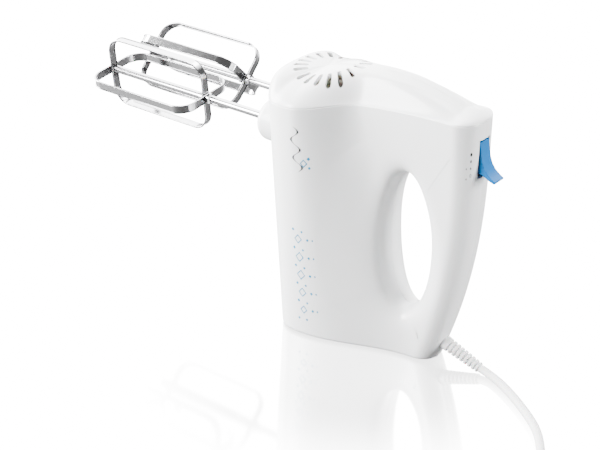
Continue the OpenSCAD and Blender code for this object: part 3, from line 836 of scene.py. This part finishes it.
        def ring(grow: float) -> list[tuple[float, float]]:
            """Rounded outline round the turns, in Y and Z.

            Args:
                grow: How far the outline lies inside its outer size.

            Returns:
                The outline, once round.
            """
            points = []
            for cy, cz, start in ((1, 1, 0), (-1, 1, 90), (-1, -1, 180), (1, -1, 270)):
                for k in range(7):
                    a = radians(start + 15 * k)
                    points.append((centre_y + cy * (half_w - 3) + (3 - grow) * cos(a),
                                   (low + high) / 2 + cz * ((high - low) / 2 - 3) + (3 - grow) * sin(a)))
            return points

        rings = []
        for x, grow in ((-3.6, 0.1), (-3.9, 0.35), (-3.9, 0.55), (-3.6, 0.75), (3.6, 0.75), (3.9, 0.55),
                        (3.9, 0.35), (3.6, 0.1), (3.6, 0.0), (-3.6, 0.0)):
            rings.append([(middle + x, y, z) for y, z in ring(grow)])
        band = lattice("cord_tie_band", rings)
        twist = turned("tie_twist", [(0, 0), (0, 1.2), (3, 1.5), (6, 0.9), (9, 1.4), (11, 0.6), (11, 0)],
                       (middle, centre_y + half_w - 0.2, 8), (0, 1, 0.12), 16)
        return put(joined("cord_tie_band", [band, twist]), Slot.TIE, replaces=("cord_tie",))

    def plug(self) -> bpy.types.Object:
        """Flat two-pin plug with a ribbed neck."""
        x0, y0, z0 = self.plug_at
        half, neck = self.plug_width / 2, 14
        outline = [(neck, -5), (neck + 4, -8.5), (neck + 11, -half), (self.plug_length, -half),
                   (self.plug_length, half), (neck + 11, half), (neck + 4, 8.5), (neck, 5)]
        body = block("plug_shell", outline, -self.plug_thickness / 2, self.plug_thickness / 2,
                     lambda u, v, w: (x0 - v, y0 + u, z0 + w))
        bevelled(body, 2.4, 5, 20)
        profile = [(0, 2.75), (0, 3.2)]
        for k in range(5):
            start, radius = 1 + 2.6 * k, mix(3.5, 4.2, k / 5)
            profile += [(start, radius), (start + 1.3, radius + 0.05), (start + 1.5, radius - 0.6),
                        (start + 2.4, radius - 0.6)]
        profile += [(14.5, 4.2), (15.5, 4.2), (15.5, 0), (1, 0)]
        sleeve = turned("plug_neck", [*profile, (0, 2.75)], (x0, y0, z0 - 2.7), (0, 1, 0), 32, 28)
        return put(joined("plug_shell", [body, sleeve]), Slot.CORD, replaces=("plug_body",))


def smooth_line(points: Sequence[Point], steps: int) -> Loop:
    """Smooth line through points, by Catmull and Rom's rule.

    Args:
        points: Points that the line passes through.
        steps: Parts between two of them.

    Returns:
        The finer line, ends included.
    """
    line = []
    for i in range(len(points) - 1):
        a, b, c, d = (Vector(points[min(max(j, 0), len(points) - 1)]) for j in range(i - 1, i + 3))
        for k in range(steps):
            t = k / steps
            line.append(tuple(0.5 * (2 * b + (c - a) * t + (2 * a - 5 * b + 4 * c - d) * t * t
                                     + (3 * b - a - 3 * c + d) * t ** 3)))
    return [*line, tuple(points[-1])]


# ---- Housing ----

@dataclass
class Housing:
    """Two clamshell halves with the hand opening between the head and the grip."""

    head_w: float = 80
    heel_w: float = 66
    grip_w: float = 34
    heel_grip_w: float = 25
    rim_front_z: float = 160
    rim_rise: float = 10
    wall: float = 2.2
    opening_w: float = 33
    opening_h: float = 95
    flare_head: float = 34
    flare_grip: float = 15
    head_x: float = 22
    front_top_x: float = -8
    back_x0: float = 135.8
    back_sweep: float = 24.5
    back_turn_z: float = 140
    end_len: float = 13
    waist_top_x: float = 61
    waist_heel_x: float = 104
    hole_x: float = 89
    hole_z: float = 79
    base_round: float = 2.4
    rim_round: float = 0.55
    seam: float = 0.5
    seam_depth: float = 0.35
    screws: tuple = ((12, 9, 29), (92, 12, 11.4), (64, 152, 15), (114, 109, 12.2))
    sides: tuple[int, int, int, int] = (56, 96, 60, 60)
    flare_rows: int = 24
    outer_rows: int = 30
    inner_rows: int = 8

    def rim_z(self, x: float) -> float:
        """Height of the rim at a station."""
        return self.rim_front_z + self.rim_rise * ease((x - self.front_top_x) / 126)

    def front_x(self, z: float) -> float:
        """Front of the head at a height."""
        return self.front_top_x * z / self.rim_front_z

    def back_x(self, z: float) -> float:
        """Back of the grip at a height."""
        return self.back_x0 - self.back_sweep * clip(1 - z / self.back_turn_z) ** 2.2

    def half_w(self, x: float, z: float, inset: float = 0) -> float:
        """Half width at a station and height, set in by a distance.

        Args:
            x: Station.
            z: Height.
            inset: Distance that the surface is set in.

        Returns:
            Half the width there.
        """
        t = z / self.rim_front_z
        head = mix(self.heel_w, self.head_w, t) / 2 - inset
        grip = mix(self.heel_grip_w, self.grip_w, t) / 2 - inset
        waist = mix(self.waist_heel_x, self.waist_top_x, t)
        front, back = self.front_x(z) + inset, self.back_x(z) - inset
        body = mix(head, grip, ease((x - self.head_x) / (waist - self.head_x)))
        return (body * round_off((self.head_x - x) / (self.head_x - front), 2.6)
                * round_off((x - back + self.end_len) / self.end_len, 2.3))

    def edge_inset(self, x: float, z: float) -> float:
        """How far the rounded edges at the base and the rim set the surface in."""
        return round_in(z, self.base_round) + round_in(self.rim_z(x) - z, self.rim_round)

    def outline(self, inset: float) -> list[tuple[float, float, bool, bool]]:
        """Side outline as (x, z, whether it lies on the rim, whether it closes on the parting plane).

        Args:
            inset: 0 for the outer face, the wall for the inner one.

        Returns:
            The outline, once round.
        """
        front, top, back, base = self.sides
        crest = self.rim_front_z + self.rim_rise
        points = []
        for i in range(front):
            z = mix(inset, self.rim_front_z, ease(i / front))
            points.append((self.front_x(z) + inset + (0 if inset else self.edge_inset(self.front_top_x, z)),
                           z, False, True))
        for i in range(top):
            x = mix(self.front_top_x + inset, self.back_x0 - inset, ease(i / top))
            points.append((x, self.rim_z(x), i > 0, False))
        for i in range(back):
            z = mix(crest, inset, ease(i / back))
            points.append((self.back_x(z) - inset - (0 if inset else self.edge_inset(self.back_x0, z)),
                           z, False, True))
        for i in range(base):
            x = mix(self.back_x(inset) - inset, self.front_x(inset) + inset, ease(i / base))
            points.append((x, inset, False, False))
        return points

    def opening_point(self, x: float, z: float, inset: float) -> tuple[float, float]:
        """Point on the rim of the hand opening that faces a point of the outline.

        Args:
            x: Station of the outline's point.
            z: Its height.
            inset: Distance that the rim is set in.

        Returns:
            The point (x, z) on the rim.
        """
        wide = self.hole_x - self.front_x(self.hole_z) if x < self.hole_x \
            else self.back_x(self.hole_z) - self.hole_x
        tall = self.hole_z if z < self.hole_z else self.rim_front_z + self.rim_rise - self.hole_z
        angle = atan2((z - self.hole_z) / tall, (x - self.hole_x) / wide)
        return (self.hole_x + (self.opening_w / 2 + inset) * signed_power(cos(angle), 0.95),
                self.hole_z + (self.opening_h / 2 + inset) * signed_power(sin(angle), 0.95))

    def row(self, station: tuple, inset: float, counts: tuple[int, int], sign: int) -> Loop:
        """Points of one face from the opening out to the outline.

        Args:
            station: One entry of the outline.
            inset: 0 for the outer face, the wall for the inner one.
            counts: Rows on the flare and beyond it.
            sign: Side of the parting plane.

        Returns:
            The row's points.
        """
        x, z, _, closes = station
        px, pz = self.opening_point(x, z, inset)
        far = hypot(x - px, z - pz)
        side = abs(x - px) / far
        to_head = px > x
        reach = mix(18, self.flare_head if to_head else self.flare_grip, side)
        power = mix(3, 6 if to_head else 2, side)
        flare_end = min(reach, 0.8 * far)
        full = round_off(1 - flare_end / reach, power)
        spans = []
        for j in range(counts[0]):
            share = full * ease(j / counts[0])
            spans.append((reach * (1 - max(1 - share ** power, 0) ** (1 / power)), 1))
        for j in range(counts[1] + 1):
            spans.append((mix(flare_end, far, sin(pi / 2 * j / counts[1])), -1 if closes else 0))
        points = []
        for s, into in spans:
            rx, rz = mix(px, x, s / far), mix(pz, z, s / far)
            edge = inset or self.edge_inset(rx, rz)
            y = self.half_w(rx, rz, edge) * round_off(1 - s / reach, power)
            if not inset and y < self.seam and into:
                push = self.seam_depth * (1 - sqrt(max(1 - (1 - y / self.seam) ** 2, 0))) * into / far
                rx, rz = rx + (x - px) * push, rz + (z - pz) * push
            points.append((rx, sign * y, rz))
        return points

    def shell(self, name: str, sign: int) -> bpy.types.Object:
        """One closed half with its outer and inner face.

        Args:
            name: Name of the piece.
            sign: Side of the parting plane.

        Returns:
            The closed shell.
        """
        outer, inner = self.outline(0), self.outline(self.wall)
        rings = []
        for out, into in zip(outer, inner):
            face = self.row(out, 0, (self.flare_rows, self.outer_rows), sign)
            back = self.row(into, self.wall, (self.inner_rows, self.inner_rows), sign)
            lip = sign * self.wall / 3
            ends = [(x, y + step if out[2] else 0.0, z)
                    for (x, y, z), step in ((face[-1], -lip), (back[-1], lip))]
            rings.append([*face, *ends, *reversed(back)])
        return lattice(name, rings, angle=32)

    def cutters(self, sign: int) -> list[bpy.types.Object]:
        """Openings for the nose plate, the lever, the cord and the screws.

        Args:
            sign: Side of the parting plane.

        Returns:
            The cutters.
        """
        gap = NosePlate().radius + 0.25
        nose = block("nose_hole", NosePlate().stadium(gap), -20, 13, lambda u, v, w: (w, u, v))
        lever = block("lever_hole", ((129, 134.8), (146, 134.8), (146, 148), (137.5, 157), (131, 164.7),
                                     (129, 164.7)), -5.4, 5.4, lambda u, v, w: (u, w, v))
        lead = MainsCord()
        relief = turned("relief_hole", [(-36, 0), (-36, 5), (-20, 5), (-20, 0)], lead.route[0],
                        lead.relief_axis(), 40)
        tools = [nose, lever, relief]
        if sign > 0:
            bore = [(8.6, 0), (8.6, 3.4), (60, 3.4), (60, 0)]
            tools += [turned("screw_hole", bore, (x, 0, z), (0, 1, 0), 32) for x, z, _ in self.screws]
        return tools

    def posts(self, sign: int) -> bpy.types.Object:
        """Screw posts and the bearing bosses of the lever pin inside one half.

        Args:
            sign: Side of the parting plane.

        Returns:
            The posts, joined.
        """
        pieces = []
        for x, z, reach in self.screws:
            if sign > 0:
                end = reach + 1.2
                ring = [(0.1, 1.7), (0.1, 4.8), (end, 4.8), (end, 3.4), (6, 3.4), (6, 1.7), (0.1, 1.7)]
            else:
                ring = [(0.1, 1.35), (0.1, 4), (reach, 4), (reach, 0), (9, 0), (9, 1.35), (0.1, 1.35)]
            pieces.append(turned("post", ring, (x, 0, z), (0, sign, 0), 32))
        lever = SpeedLever()
        boss = [(8, 1.65), (8, 4), (14.4, 4), (14.4, 0), (12.2, 0), (12.2, 1.65), (8, 1.65)]
        pieces.append(turned("post", boss, (lever.pivot_x, 0, lever.pivot_z), (0, sign, 0), 32))
        return joined(f"posts_{'right' if sign > 0 else 'left'}", pieces)

    def build(self) -> None:
        """Makes both halves and their posts."""
        for name, sign in (("left", -1), ("right", 1)):
            half = cut(self.shell(f"shell_{name}", sign), self.cutters(sign), 32)
            put(half, Slot.BODY, replaces=(f"housing_{name}",))
            put(self.posts(sign), Slot.BODY)


@dataclass
class TopCover:
    """Domed cover with a ring of vents over the motor and a ridge that runs to the grip."""

    housing: Housing = field(default_factory=Housing)
    crest_z: float = 184.5
    crest_x: float = 69
    crest_fall: float = 0.0034
    grip_end_x: float = 122
    nose_turn: float = 18
    spine_start: float = 6
    spine_len: float = 60
    ridge_power: float = 2.4
    step: float = 0.55
    step_width: float = 1.6
    vent_x: float = 27
    vent_slots: int = 20
    vent_from: float = 16.2
    vent_to: float = 26.0
    slot_half: float = 1.8
    along: int = 110
    rings: int = 44

    def crest(self, x: float) -> float:
        """Height of the crest line."""
        return self.crest_z - self.crest_fall * (x - self.crest_x) ** 2

    def dome(self, r: float, x: float) -> float:
        """Share of the crest's height at a share r of the way out to the rim.

        Args:
            r: Share of the way out, 0 at the crest.
            x: Station on the rim.

        Returns:
            The share of the height.
        """
        side = ease((x - self.housing.front_top_x) / self.nose_turn)
        full = max(1 - r ** mix(6, 2, side), 0) ** mix(0.35, 0.6, side)
        domed = max(1 - ease((x - self.spine_start) / self.spine_len), ease((x - self.grip_end_x + 10) / 22))
        return mix(ease(1 - r ** self.ridge_power), full, domed)

    def ridge(self, x: float, y: float) -> float:
        """Soft step down beside the raised ridge.

        Args:
            x: Station.
            y: Distance from the parting plane.

        Returns:
            How far the surface lies lower there.
        """
        half = mix(11.0, 4.0, (x - 51) / 67)
        fade = ease((x - 46) / 22) * (1 - ease((x - 122) / 8))
        return self.step * fade * ease((abs(y) - half) / self.step_width)

    def point(self, k: int, r: float, inset: float, drop: float) -> tuple[float, float, float]:
        """Point of the cover on one spoke.

        Args:
            k: Number of the spoke.
            r: Share of the way out to the rim.
            inset: Distance in from the rim.
            drop: Distance below the outer face.

        Returns:
            The point.
        """
        h, n = self.housing, self.along
        i, sign = (k, -1) if k <= n else (2 * n - k, 1)
        x = mix(h.front_top_x + inset, h.back_x0 - inset, ease(i / n))
        y, z = sign * h.half_w(x, h.rim_z(x), inset), h.rim_z(x)
        cx = min(max(x, h.head_x), self.grip_end_x)
        rise = (self.crest(cx) - z) * self.dome(r, x)
        back = round_in(rise, h.rim_round) / max(hypot(x - cx, y), 1) if not inset else 0
        share = r * (1 - back)
        px, py = mix(cx, x, share), y * share
        return (px, py, z + rise - drop - (0 if inset else self.ridge(px, py) * (1 - r ** 12)))

    def ring(self, r: float, inset: float, drop: float) -> Loop:
        """One closed ring of the cover."""
        return [self.point(k, r, inset, drop) for k in range(2 * self.along)]

    def shell(self) -> bpy.types.Object:
        """Closed cover with its skirt."""
        core, inset, skirt = 0.012, self.housing.wall + 0.3, 1.5
        shares = [mix(core, 1, sin(pi / 2 * i / self.rings)) for i in range(self.rings + 1)]
        rings = [self.ring(r, 0, 0) for r in shares]
        rings += [self.ring(1, inset, 0), self.ring(1, inset, 3), self.ring(1, inset + skirt, 3)]
        rings += [self.ring(r, inset + skirt, self.housing.wall) for r in reversed(shares[::4])]
        return lattice("cover_shell", rings, closed=False, cap=True, angle=32)

    def vent(self, turn: float) -> bpy.types.Object:
        """Cutter of one rounded radial slot.

        Args:
            turn: Angle of the slot round the ring.

        Returns:
            The cutter.
        """
        outline = []
        for end, outward in ((self.vent_to, 1), (self.vent_from, -1)):
            half = self.slot_half if outward > 0 else 0.75 * self.slot_half
            for k in range(7):
                a = radians(30 * k - 90 * outward)
                outline.append((end + (half * cos(a)) - outward * half, half * sin(a)))
        c, s = cos(turn), sin(turn)
        return block("vent", outline, 160, 190,
                     lambda u, v, w: (self.vent_x + u * c - v * s, u * s + v * c, w))

    def build(self) -> None:
        """Makes the cover and cuts its vents."""
        cover = self.shell()
        count = self.vent_slots
        vents = joined("vents", [self.vent(2 * pi * (k + 0.5) / count) for k in range(count)])
        put(cut(cover, [vents], 32), Slot.BODY, replaces=("top_cover",))


@dataclass
class NosePlate:
    """Rounded plate round the two beater sockets."""

    gap: float = 40
    axis_z: float = 140
    face_x: float = -11
    length: float = 19
    radius: float = 13.5
    edge: float = 6

    def stadium(self, radius: float, steps: int = 24) -> list[tuple[float, float]]:
        """Outline round both axes, in Y and Z.

        Args:
            radius: Radius round each axis.
            steps: Parts of each half circle.

        Returns:
            The outline, once round.
        """
        points = []
        for side, start in ((1, -90), (-1, 90)):
            for k in range(steps + 1):
                a = radians(start + 180 * k / steps)
                points.append((side * self.gap / 2 + radius * cos(a), self.axis_z + radius * sin(a)))
        return points

    def build(self) -> None:
        """Makes the plate with its dished sockets."""
        back = self.face_x + self.length
        rings = []
        for k in range(12, -1, -1):
            a = pi / 2 * k / 12
            rings.append([(self.face_x + self.edge * (1 - sin(a)), y, z)
                          for y, z in self.stadium(self.radius - self.edge * (1 - cos(a)))])
        rings = [[(back, y, z) for y, z in self.stadium(self.radius)], *reversed(rings)]
        rings.append([(self.face_x, y, z) for y, z in self.stadium(self.radius - self.edge - 3)])
        plate = lattice("nose_shell", rings, closed=False, cap=True, angle=30)
        hollow = block("hollow", self.stadium(11.5), self.face_x + 9, back + 1, lambda u, v, w: (w, u, v))
        tools = [hollow]
        dish = [(-1, 0), (-1, 9.2), (0, 9.0), (0.9, 8.2), (0.9, 7.9), (20, 7.9), (20, 0)]
        for side in (-1, 1):
            centre = (self.face_x, side * self.gap / 2, self.axis_z)
            tools.append(turned("socket", dish, centre, (1, 0, 0), 48))
        put(cut(plate, tools, 30), Slot.BODY, replaces=("nose_plate",))


# ---- Beaters ----

@dataclass
class Beater:
    """Wire beater: two crossed loops of flat strip on a shaft."""

    side: int = -1
    turn: float = 6.2
    gap: float = 40
    axis_z: float = 140
    tip_x: float = -147
    cage_r: float = 24.4
    cage_len: float = 86
    strip_w: float = 5.8
    strip_t: float = 1.2
    corner: float = 12
    shaft_r: float = 2.5
    shaft_end: float = 12.5

    def place(self, u: float, v: float, w: float, turn: float) -> Point:
        """Point from (along the axis, out in the loop's plane, across it).

        Args:
            u: Distance along the axis.
            v: Distance out in the plane.
            w: Distance across it.
            turn: Turn of the plane in degrees.

        Returns:
            The point.
        """
        c, s = cos(radians(turn)), sin(radians(turn))
        return (u, self.side * self.gap / 2 + v * c - w * s, self.axis_z + v * s + w * c)

    def loop_line(self, inset: float) -> list[tuple[float, float, float, float]]:
        """Centre line of a loop with its outward normal, as (u, v, nu, nv).

        Args:
            inset: Distance that its ends are set in.

        Returns:
            The line, once round.
        """
        low, high = self.tip_x + 1 + inset, self.tip_x + 1 + self.cage_len - inset
        r, line = self.corner - self.strip_t / 2, []
        half = self.cage_r - self.strip_t / 2
        corners = ((high - r, half - r, 0), (low + r, half - r, 90), (low + r, r - half, 180),
                   (high - r, r - half, 270))
        for cu, cv, start in corners:
            for k in range(17):
                a = radians(start + 90 * k / 16)
                line.append((cu + r * cos(a), cv + r * sin(a), cos(a), sin(a)))
        return line

    def loop(self, turn: float, inset: float) -> bpy.types.Object:
        """One closed loop of strip with rounded edges.

        Args:
            turn: Turn of its plane in degrees.
            inset: Distance that its ends are set in.

        Returns:
            The loop.
        """
        half_t, half_w, r, steps = self.strip_t / 2, self.strip_w / 2, 0.45, 4
        turns = [pi / 2 * k / steps for k in range(steps + 1)]
        section = [(half_t - r * (1 - sin(a)), half_w - r * (1 - cos(a))) for a in turns]
        section += [(-t, w) for t, w in reversed(section)]
        section += [(t, -w) for t, w in reversed(section)]
        rings = [[self.place(u + t * nu, v + t * nv, w, turn) for t, w in section]
                 for u, v, nu, nv in self.loop_line(inset)]
        return lattice("loop", rings, angle=40)

    def build(self) -> None:
        """Makes the shaft, the loops and the rivet."""
        name = "left" if self.side < 0 else "right"
        body = f"beater_{name}"
        middle = self.strip_t / 2
        outer, inner = self.loop(self.turn, middle), self.loop(self.turn + 90, middle + 1.25)
        put(joined(f"loops_{name}", [outer, inner]), Slot.CHROME, body, (f"beater_{name}_loops",))
        start, hub = self.tip_x + 1.2, self.tip_x + 1 + self.cage_len
        r, end = self.shaft_r, self.shaft_end
        profile = [(start, 0), (start, r), (hub - 6, r), (hub - 5.6, r + 0.9), (hub - 3.2, r + 0.9),
                   (hub - 2.8, r), (hub + 0.4, r), (hub + 0.7, r + 1.1), (hub + 2.6, r + 1.1), (hub + 3, r),
                   (end - 6.4, r), (end - 6, r - 0.35), (end - 4.8, r - 0.35), (end - 4.4, r),
                   (end - 1, r), (end, r - 0.9), (end, 0)]
        centre = (0, self.side * self.gap / 2, self.axis_z)
        shaft = turned(f"shaft_{name}", profile, centre, (1, 0, 0), 40, 28)
        lug = block("lug", ((2, -3.8), (8, -3.8), (8, 3.8), (2, 3.8)), -0.6, 0.6,
                    lambda u, v, w: self.place(u, v, w, 0))
        drive = joined(f"shaft_{name}", [shaft, bevelled(lug, 0.25, 2)])
        put(drive, Slot.CHROME, body, (f"beater_{name}_shaft",))
        button = [(1.3, 0), (1.3, 3.5), (1.1, 3.6), (0.7, 3.5), (0.35, 3.0), (0.1, 1.8), (0, 0)]
        rivet = turned(f"rivet_{name}", button, (self.tip_x, *centre[1:]), (1, 0, 0), 40, 30)
        put(rivet, Slot.CHROME, body, (f"beater_{name}_tip",))


# ---- Lever and printed marks ----

@dataclass
class SpeedLever:
    """Thumb lever of the speed switch."""

    width: float = 10
    pivot_x: float = 104
    pivot_z: float = 132
    tail: float = 14
    reach: float = 43

    def build(self) -> None:
        """Makes the paddle, its arm and the tail."""
        tip, pivot = self.pivot_x + self.reach, (self.pivot_x, 0, self.pivot_z)
        paddle = block("paddle", ((127, 146), (133.2, 157.8), (135.4, 157.8), (136, 154.5), (136.7, 150.5),
                                  (137.6, 146.5), (139, 142.8), (141.3, 139.6), (144.2, 137.3), (tip, 135.6),
                                  (tip, 134.7), (145.9, 134.3), (143, 135.2), (139.8, 137), (137, 138.2),
                                  (126, 138.2)), -self.width / 2, self.width / 2, lambda u, v, w: (u, w, v))
        bevelled(paddle, 0.8, 4, 40)
        arm = block("arm", ((104, 127.4), (128, 138.4), (128, 147), (104, 136.6)), -4, 4,
                    lambda u, v, w: (u, w, v))
        bore_r = 1.58
        tube = [(-7.7, bore_r), (-7.7, 4.6), (7.7, 4.6), (7.7, bore_r), (-7.7, bore_r)]
        hub = turned("hub", tube, pivot, (0, 1, 0), 40)
        bore = turned("bore", [(-9, 0), (-9, bore_r), (9, bore_r), (9, 0)], pivot, (0, 1, 0), 40)
        arm = cut(bevelled(arm, 0.4, 2), [bore])
        post = block("post", ((-0.8, 4), (0.8, 4), (0.8, self.tail), (-0.8, self.tail)), -2.5, 2.5,
                     lambda u, v, w: (self.pivot_x + u, w, self.pivot_z + v))
        knob = turned("knob", [(-2.5, 0), (-2.5, 1.5), (2.5, 1.5), (2.5, 0)],
                      (self.pivot_x, 0, self.pivot_z + self.tail), (0, 1, 0), 24)
        put(joined("thumb_lever", [paddle, arm, hub, post, knob]), Slot.LEVER, "lever", ("speed_lever",))


@dataclass
class Prints:
    """Printed ornament and speed marks, laid just over the surface."""

    housing: Housing = field(default_factory=Housing)
    lift: float = 0.06
    column_x: tuple[float, float] = (26.2, 29.0)
    column_z: tuple[float, float] = (72, 20)
    count: int = 5
    squeeze: float = 0.3

    def lay(self, x: float, z: float) -> tuple[float, float, float]:
        """Point just over the side at a station and height."""
        return (x, -self.housing.half_w(x, z) - self.lift, z)

    def patch(self, outline: Sequence[tuple[float, float]], hole: Sequence[tuple[float, float]] = (),
              finish: Finish = INK_BLUE) -> bpy.types.Object:
        """Thin patch that follows the surface.

        Args:
            outline: Outer corners (x, z).
            hole: Inner corners, one for each outer one, for an open shape.
            finish: Ink of the patch.

        Returns:
            The patch.
        """
        n = len(outline)
        inner = list(hole) or [(sum(x for x, _ in outline) / n, sum(z for _, z in outline) / n)] * n
        rings = [[self.lay(mix(a, c, t), mix(b, d, t)) for (a, b), (c, d) in zip(outline, inner)]
                 for t in (0, 0.5, 1 if hole else 0.98)]
        patch = lattice("patch", rings, closed=False)
        dress(patch, Slot.BODY, finish)
        return patch

    def diamond(self, x: float, z: float, half: float, line: float = 0) -> bpy.types.Object:
        """Diamond, filled or as an outline of some thickness.

        Args:
            x: Station of its middle.
            z: Height of its middle.
            half: Half its height.
            line: Thickness of the outline, 0 for a filled one.

        Returns:
            The patch.
        """
        def corners(size: float) -> list[tuple[float, float]]:
            """Eight points round a diamond."""
            tips = [(0, size), (0.8 * size, 0), (0, -size), (-0.8 * size, 0)]
            return [(x + mix(a[0], b[0], t), z + mix(a[1], b[1], t))
                    for a, b in zip(tips, tips[1:] + tips[:1]) for t in (0, 0.5)]
        return self.patch(corners(half), corners(half - 1.5 * line) if line else ())

    def disc(self, x: float, z: float, radius: float, hole: float = 0) -> bpy.types.Object:
        """Round grey mark, or a ring.

        Args:
            x: Station of its middle.
            z: Height of its middle.
            radius: Outer radius.
            hole: Inner radius, 0 for a filled one.

        Returns:
            The patch.
        """
        def circle(r: float) -> list[tuple[float, float]]:
            """Points round a circle."""
            return [(x + self.squeeze * r * cos(pi * k / 10), z + r * sin(pi * k / 10)) for k in range(20)]
        return self.patch(circle(radius), circle(hole) if hole else (), INK_GREY)

    def ribbon(self) -> bpy.types.Object:
        """Plain wavy line up the head."""
        steps = 60

        def edge(side: float) -> list[tuple[float, float]]:
            """One edge of the line, or its middle at side 0."""
            points = []
            for k in range(steps + 1):
                t = k / steps
                half = 0.2 + 0.4 * sin(5 * pi * t) ** 2
                points.append((26.4 + 2.6 * sin(5 * pi * t) + 3 * (0.5 - t) + side * half, mix(120, 150, t)))
            return points

        wave = self.patch([*edge(1), *reversed(edge(-1))], [*edge(0), *reversed(edge(0))], INK_GREY)
        wave.name = "wave_print"
        return wave

    def build(self) -> None:
        """Makes the ornament and the marks."""
        pieces = []
        for k in range(self.count):
            t = k / (self.count - 1)
            x, z = mix(*self.column_x, t), mix(*self.column_z, t)
            pieces.append(self.diamond(x, z, 2.6 + 1.2 * sin(pi * (0.25 + 0.6 * t)), 0.62))
            pieces += [self.diamond(x + dx, z + dz, size) for dx, dz, size in
                       ((-3.6, 6.2, 1.25), (2.6, 5.6, 1.05), (6.4, 0.4, 1.2), (9.6, 0.7, 0.8))]
        pieces += [self.diamond(25.5, 12.8, 1.1), self.diamond(31.2, 12.8, 1.1),
                   self.diamond(31, 126, 2.8, 0.6), self.diamond(33.8, 129.4, 1.3),
                   self.diamond(34.3, 123.2, 1.1)]
        put(joined("ornament_print", pieces), Slot.LEVER, finish=INK_BLUE)
        marks = [self.disc(133.5, 152.2, 1.15), self.disc(133.5, 147.7, 0.95),
                 self.disc(133.5, 143.2, 0.75), self.disc(133.5, 138.6, 1.1, 0.75),
                 self.disc(131.9, 143.2, 0.6), self.disc(132.0, 136.6, 0.7)]
        put(joined("speed_marks", marks), Slot.BLACK, finish=INK_GREY)
        put(self.ribbon(), Slot.BLACK, finish=INK_GREY)


def dress_frame_nodes() -> None:
    """Gives every CAD node the finish of its slot."""
    slots = {part["node"]: Slot(part["material_slot"]) for part in frame["record"]["subparts"]}
    for name, node in frame["nodes"].items():
        finish = FINISHES[slots[name]].build()
        node.data.materials.clear()
        node.data.materials.append(finish)
        LOG.info("%s has the finish %s", name, finish.name)


def main() -> None:
    """Builds the studio, the cord and every sub-assembly in order."""
    logging.basicConfig(level=logging.INFO, format="%(name)s: %(message)s")
    studio = Studio()
    studio.camera()
    MainsCord().build()
    studio.floor()
    studio.light()
    dress_frame_nodes()
    Housing().build()
    TopCover().build()
    NosePlate().build()
    for side, turn in ((-1, 6.2), (1, 45.1)):
        Beater(side=side, turn=turn).build()
    SpeedLever().build()
    Prints().build()


if __name__ == "__main__":
    main()
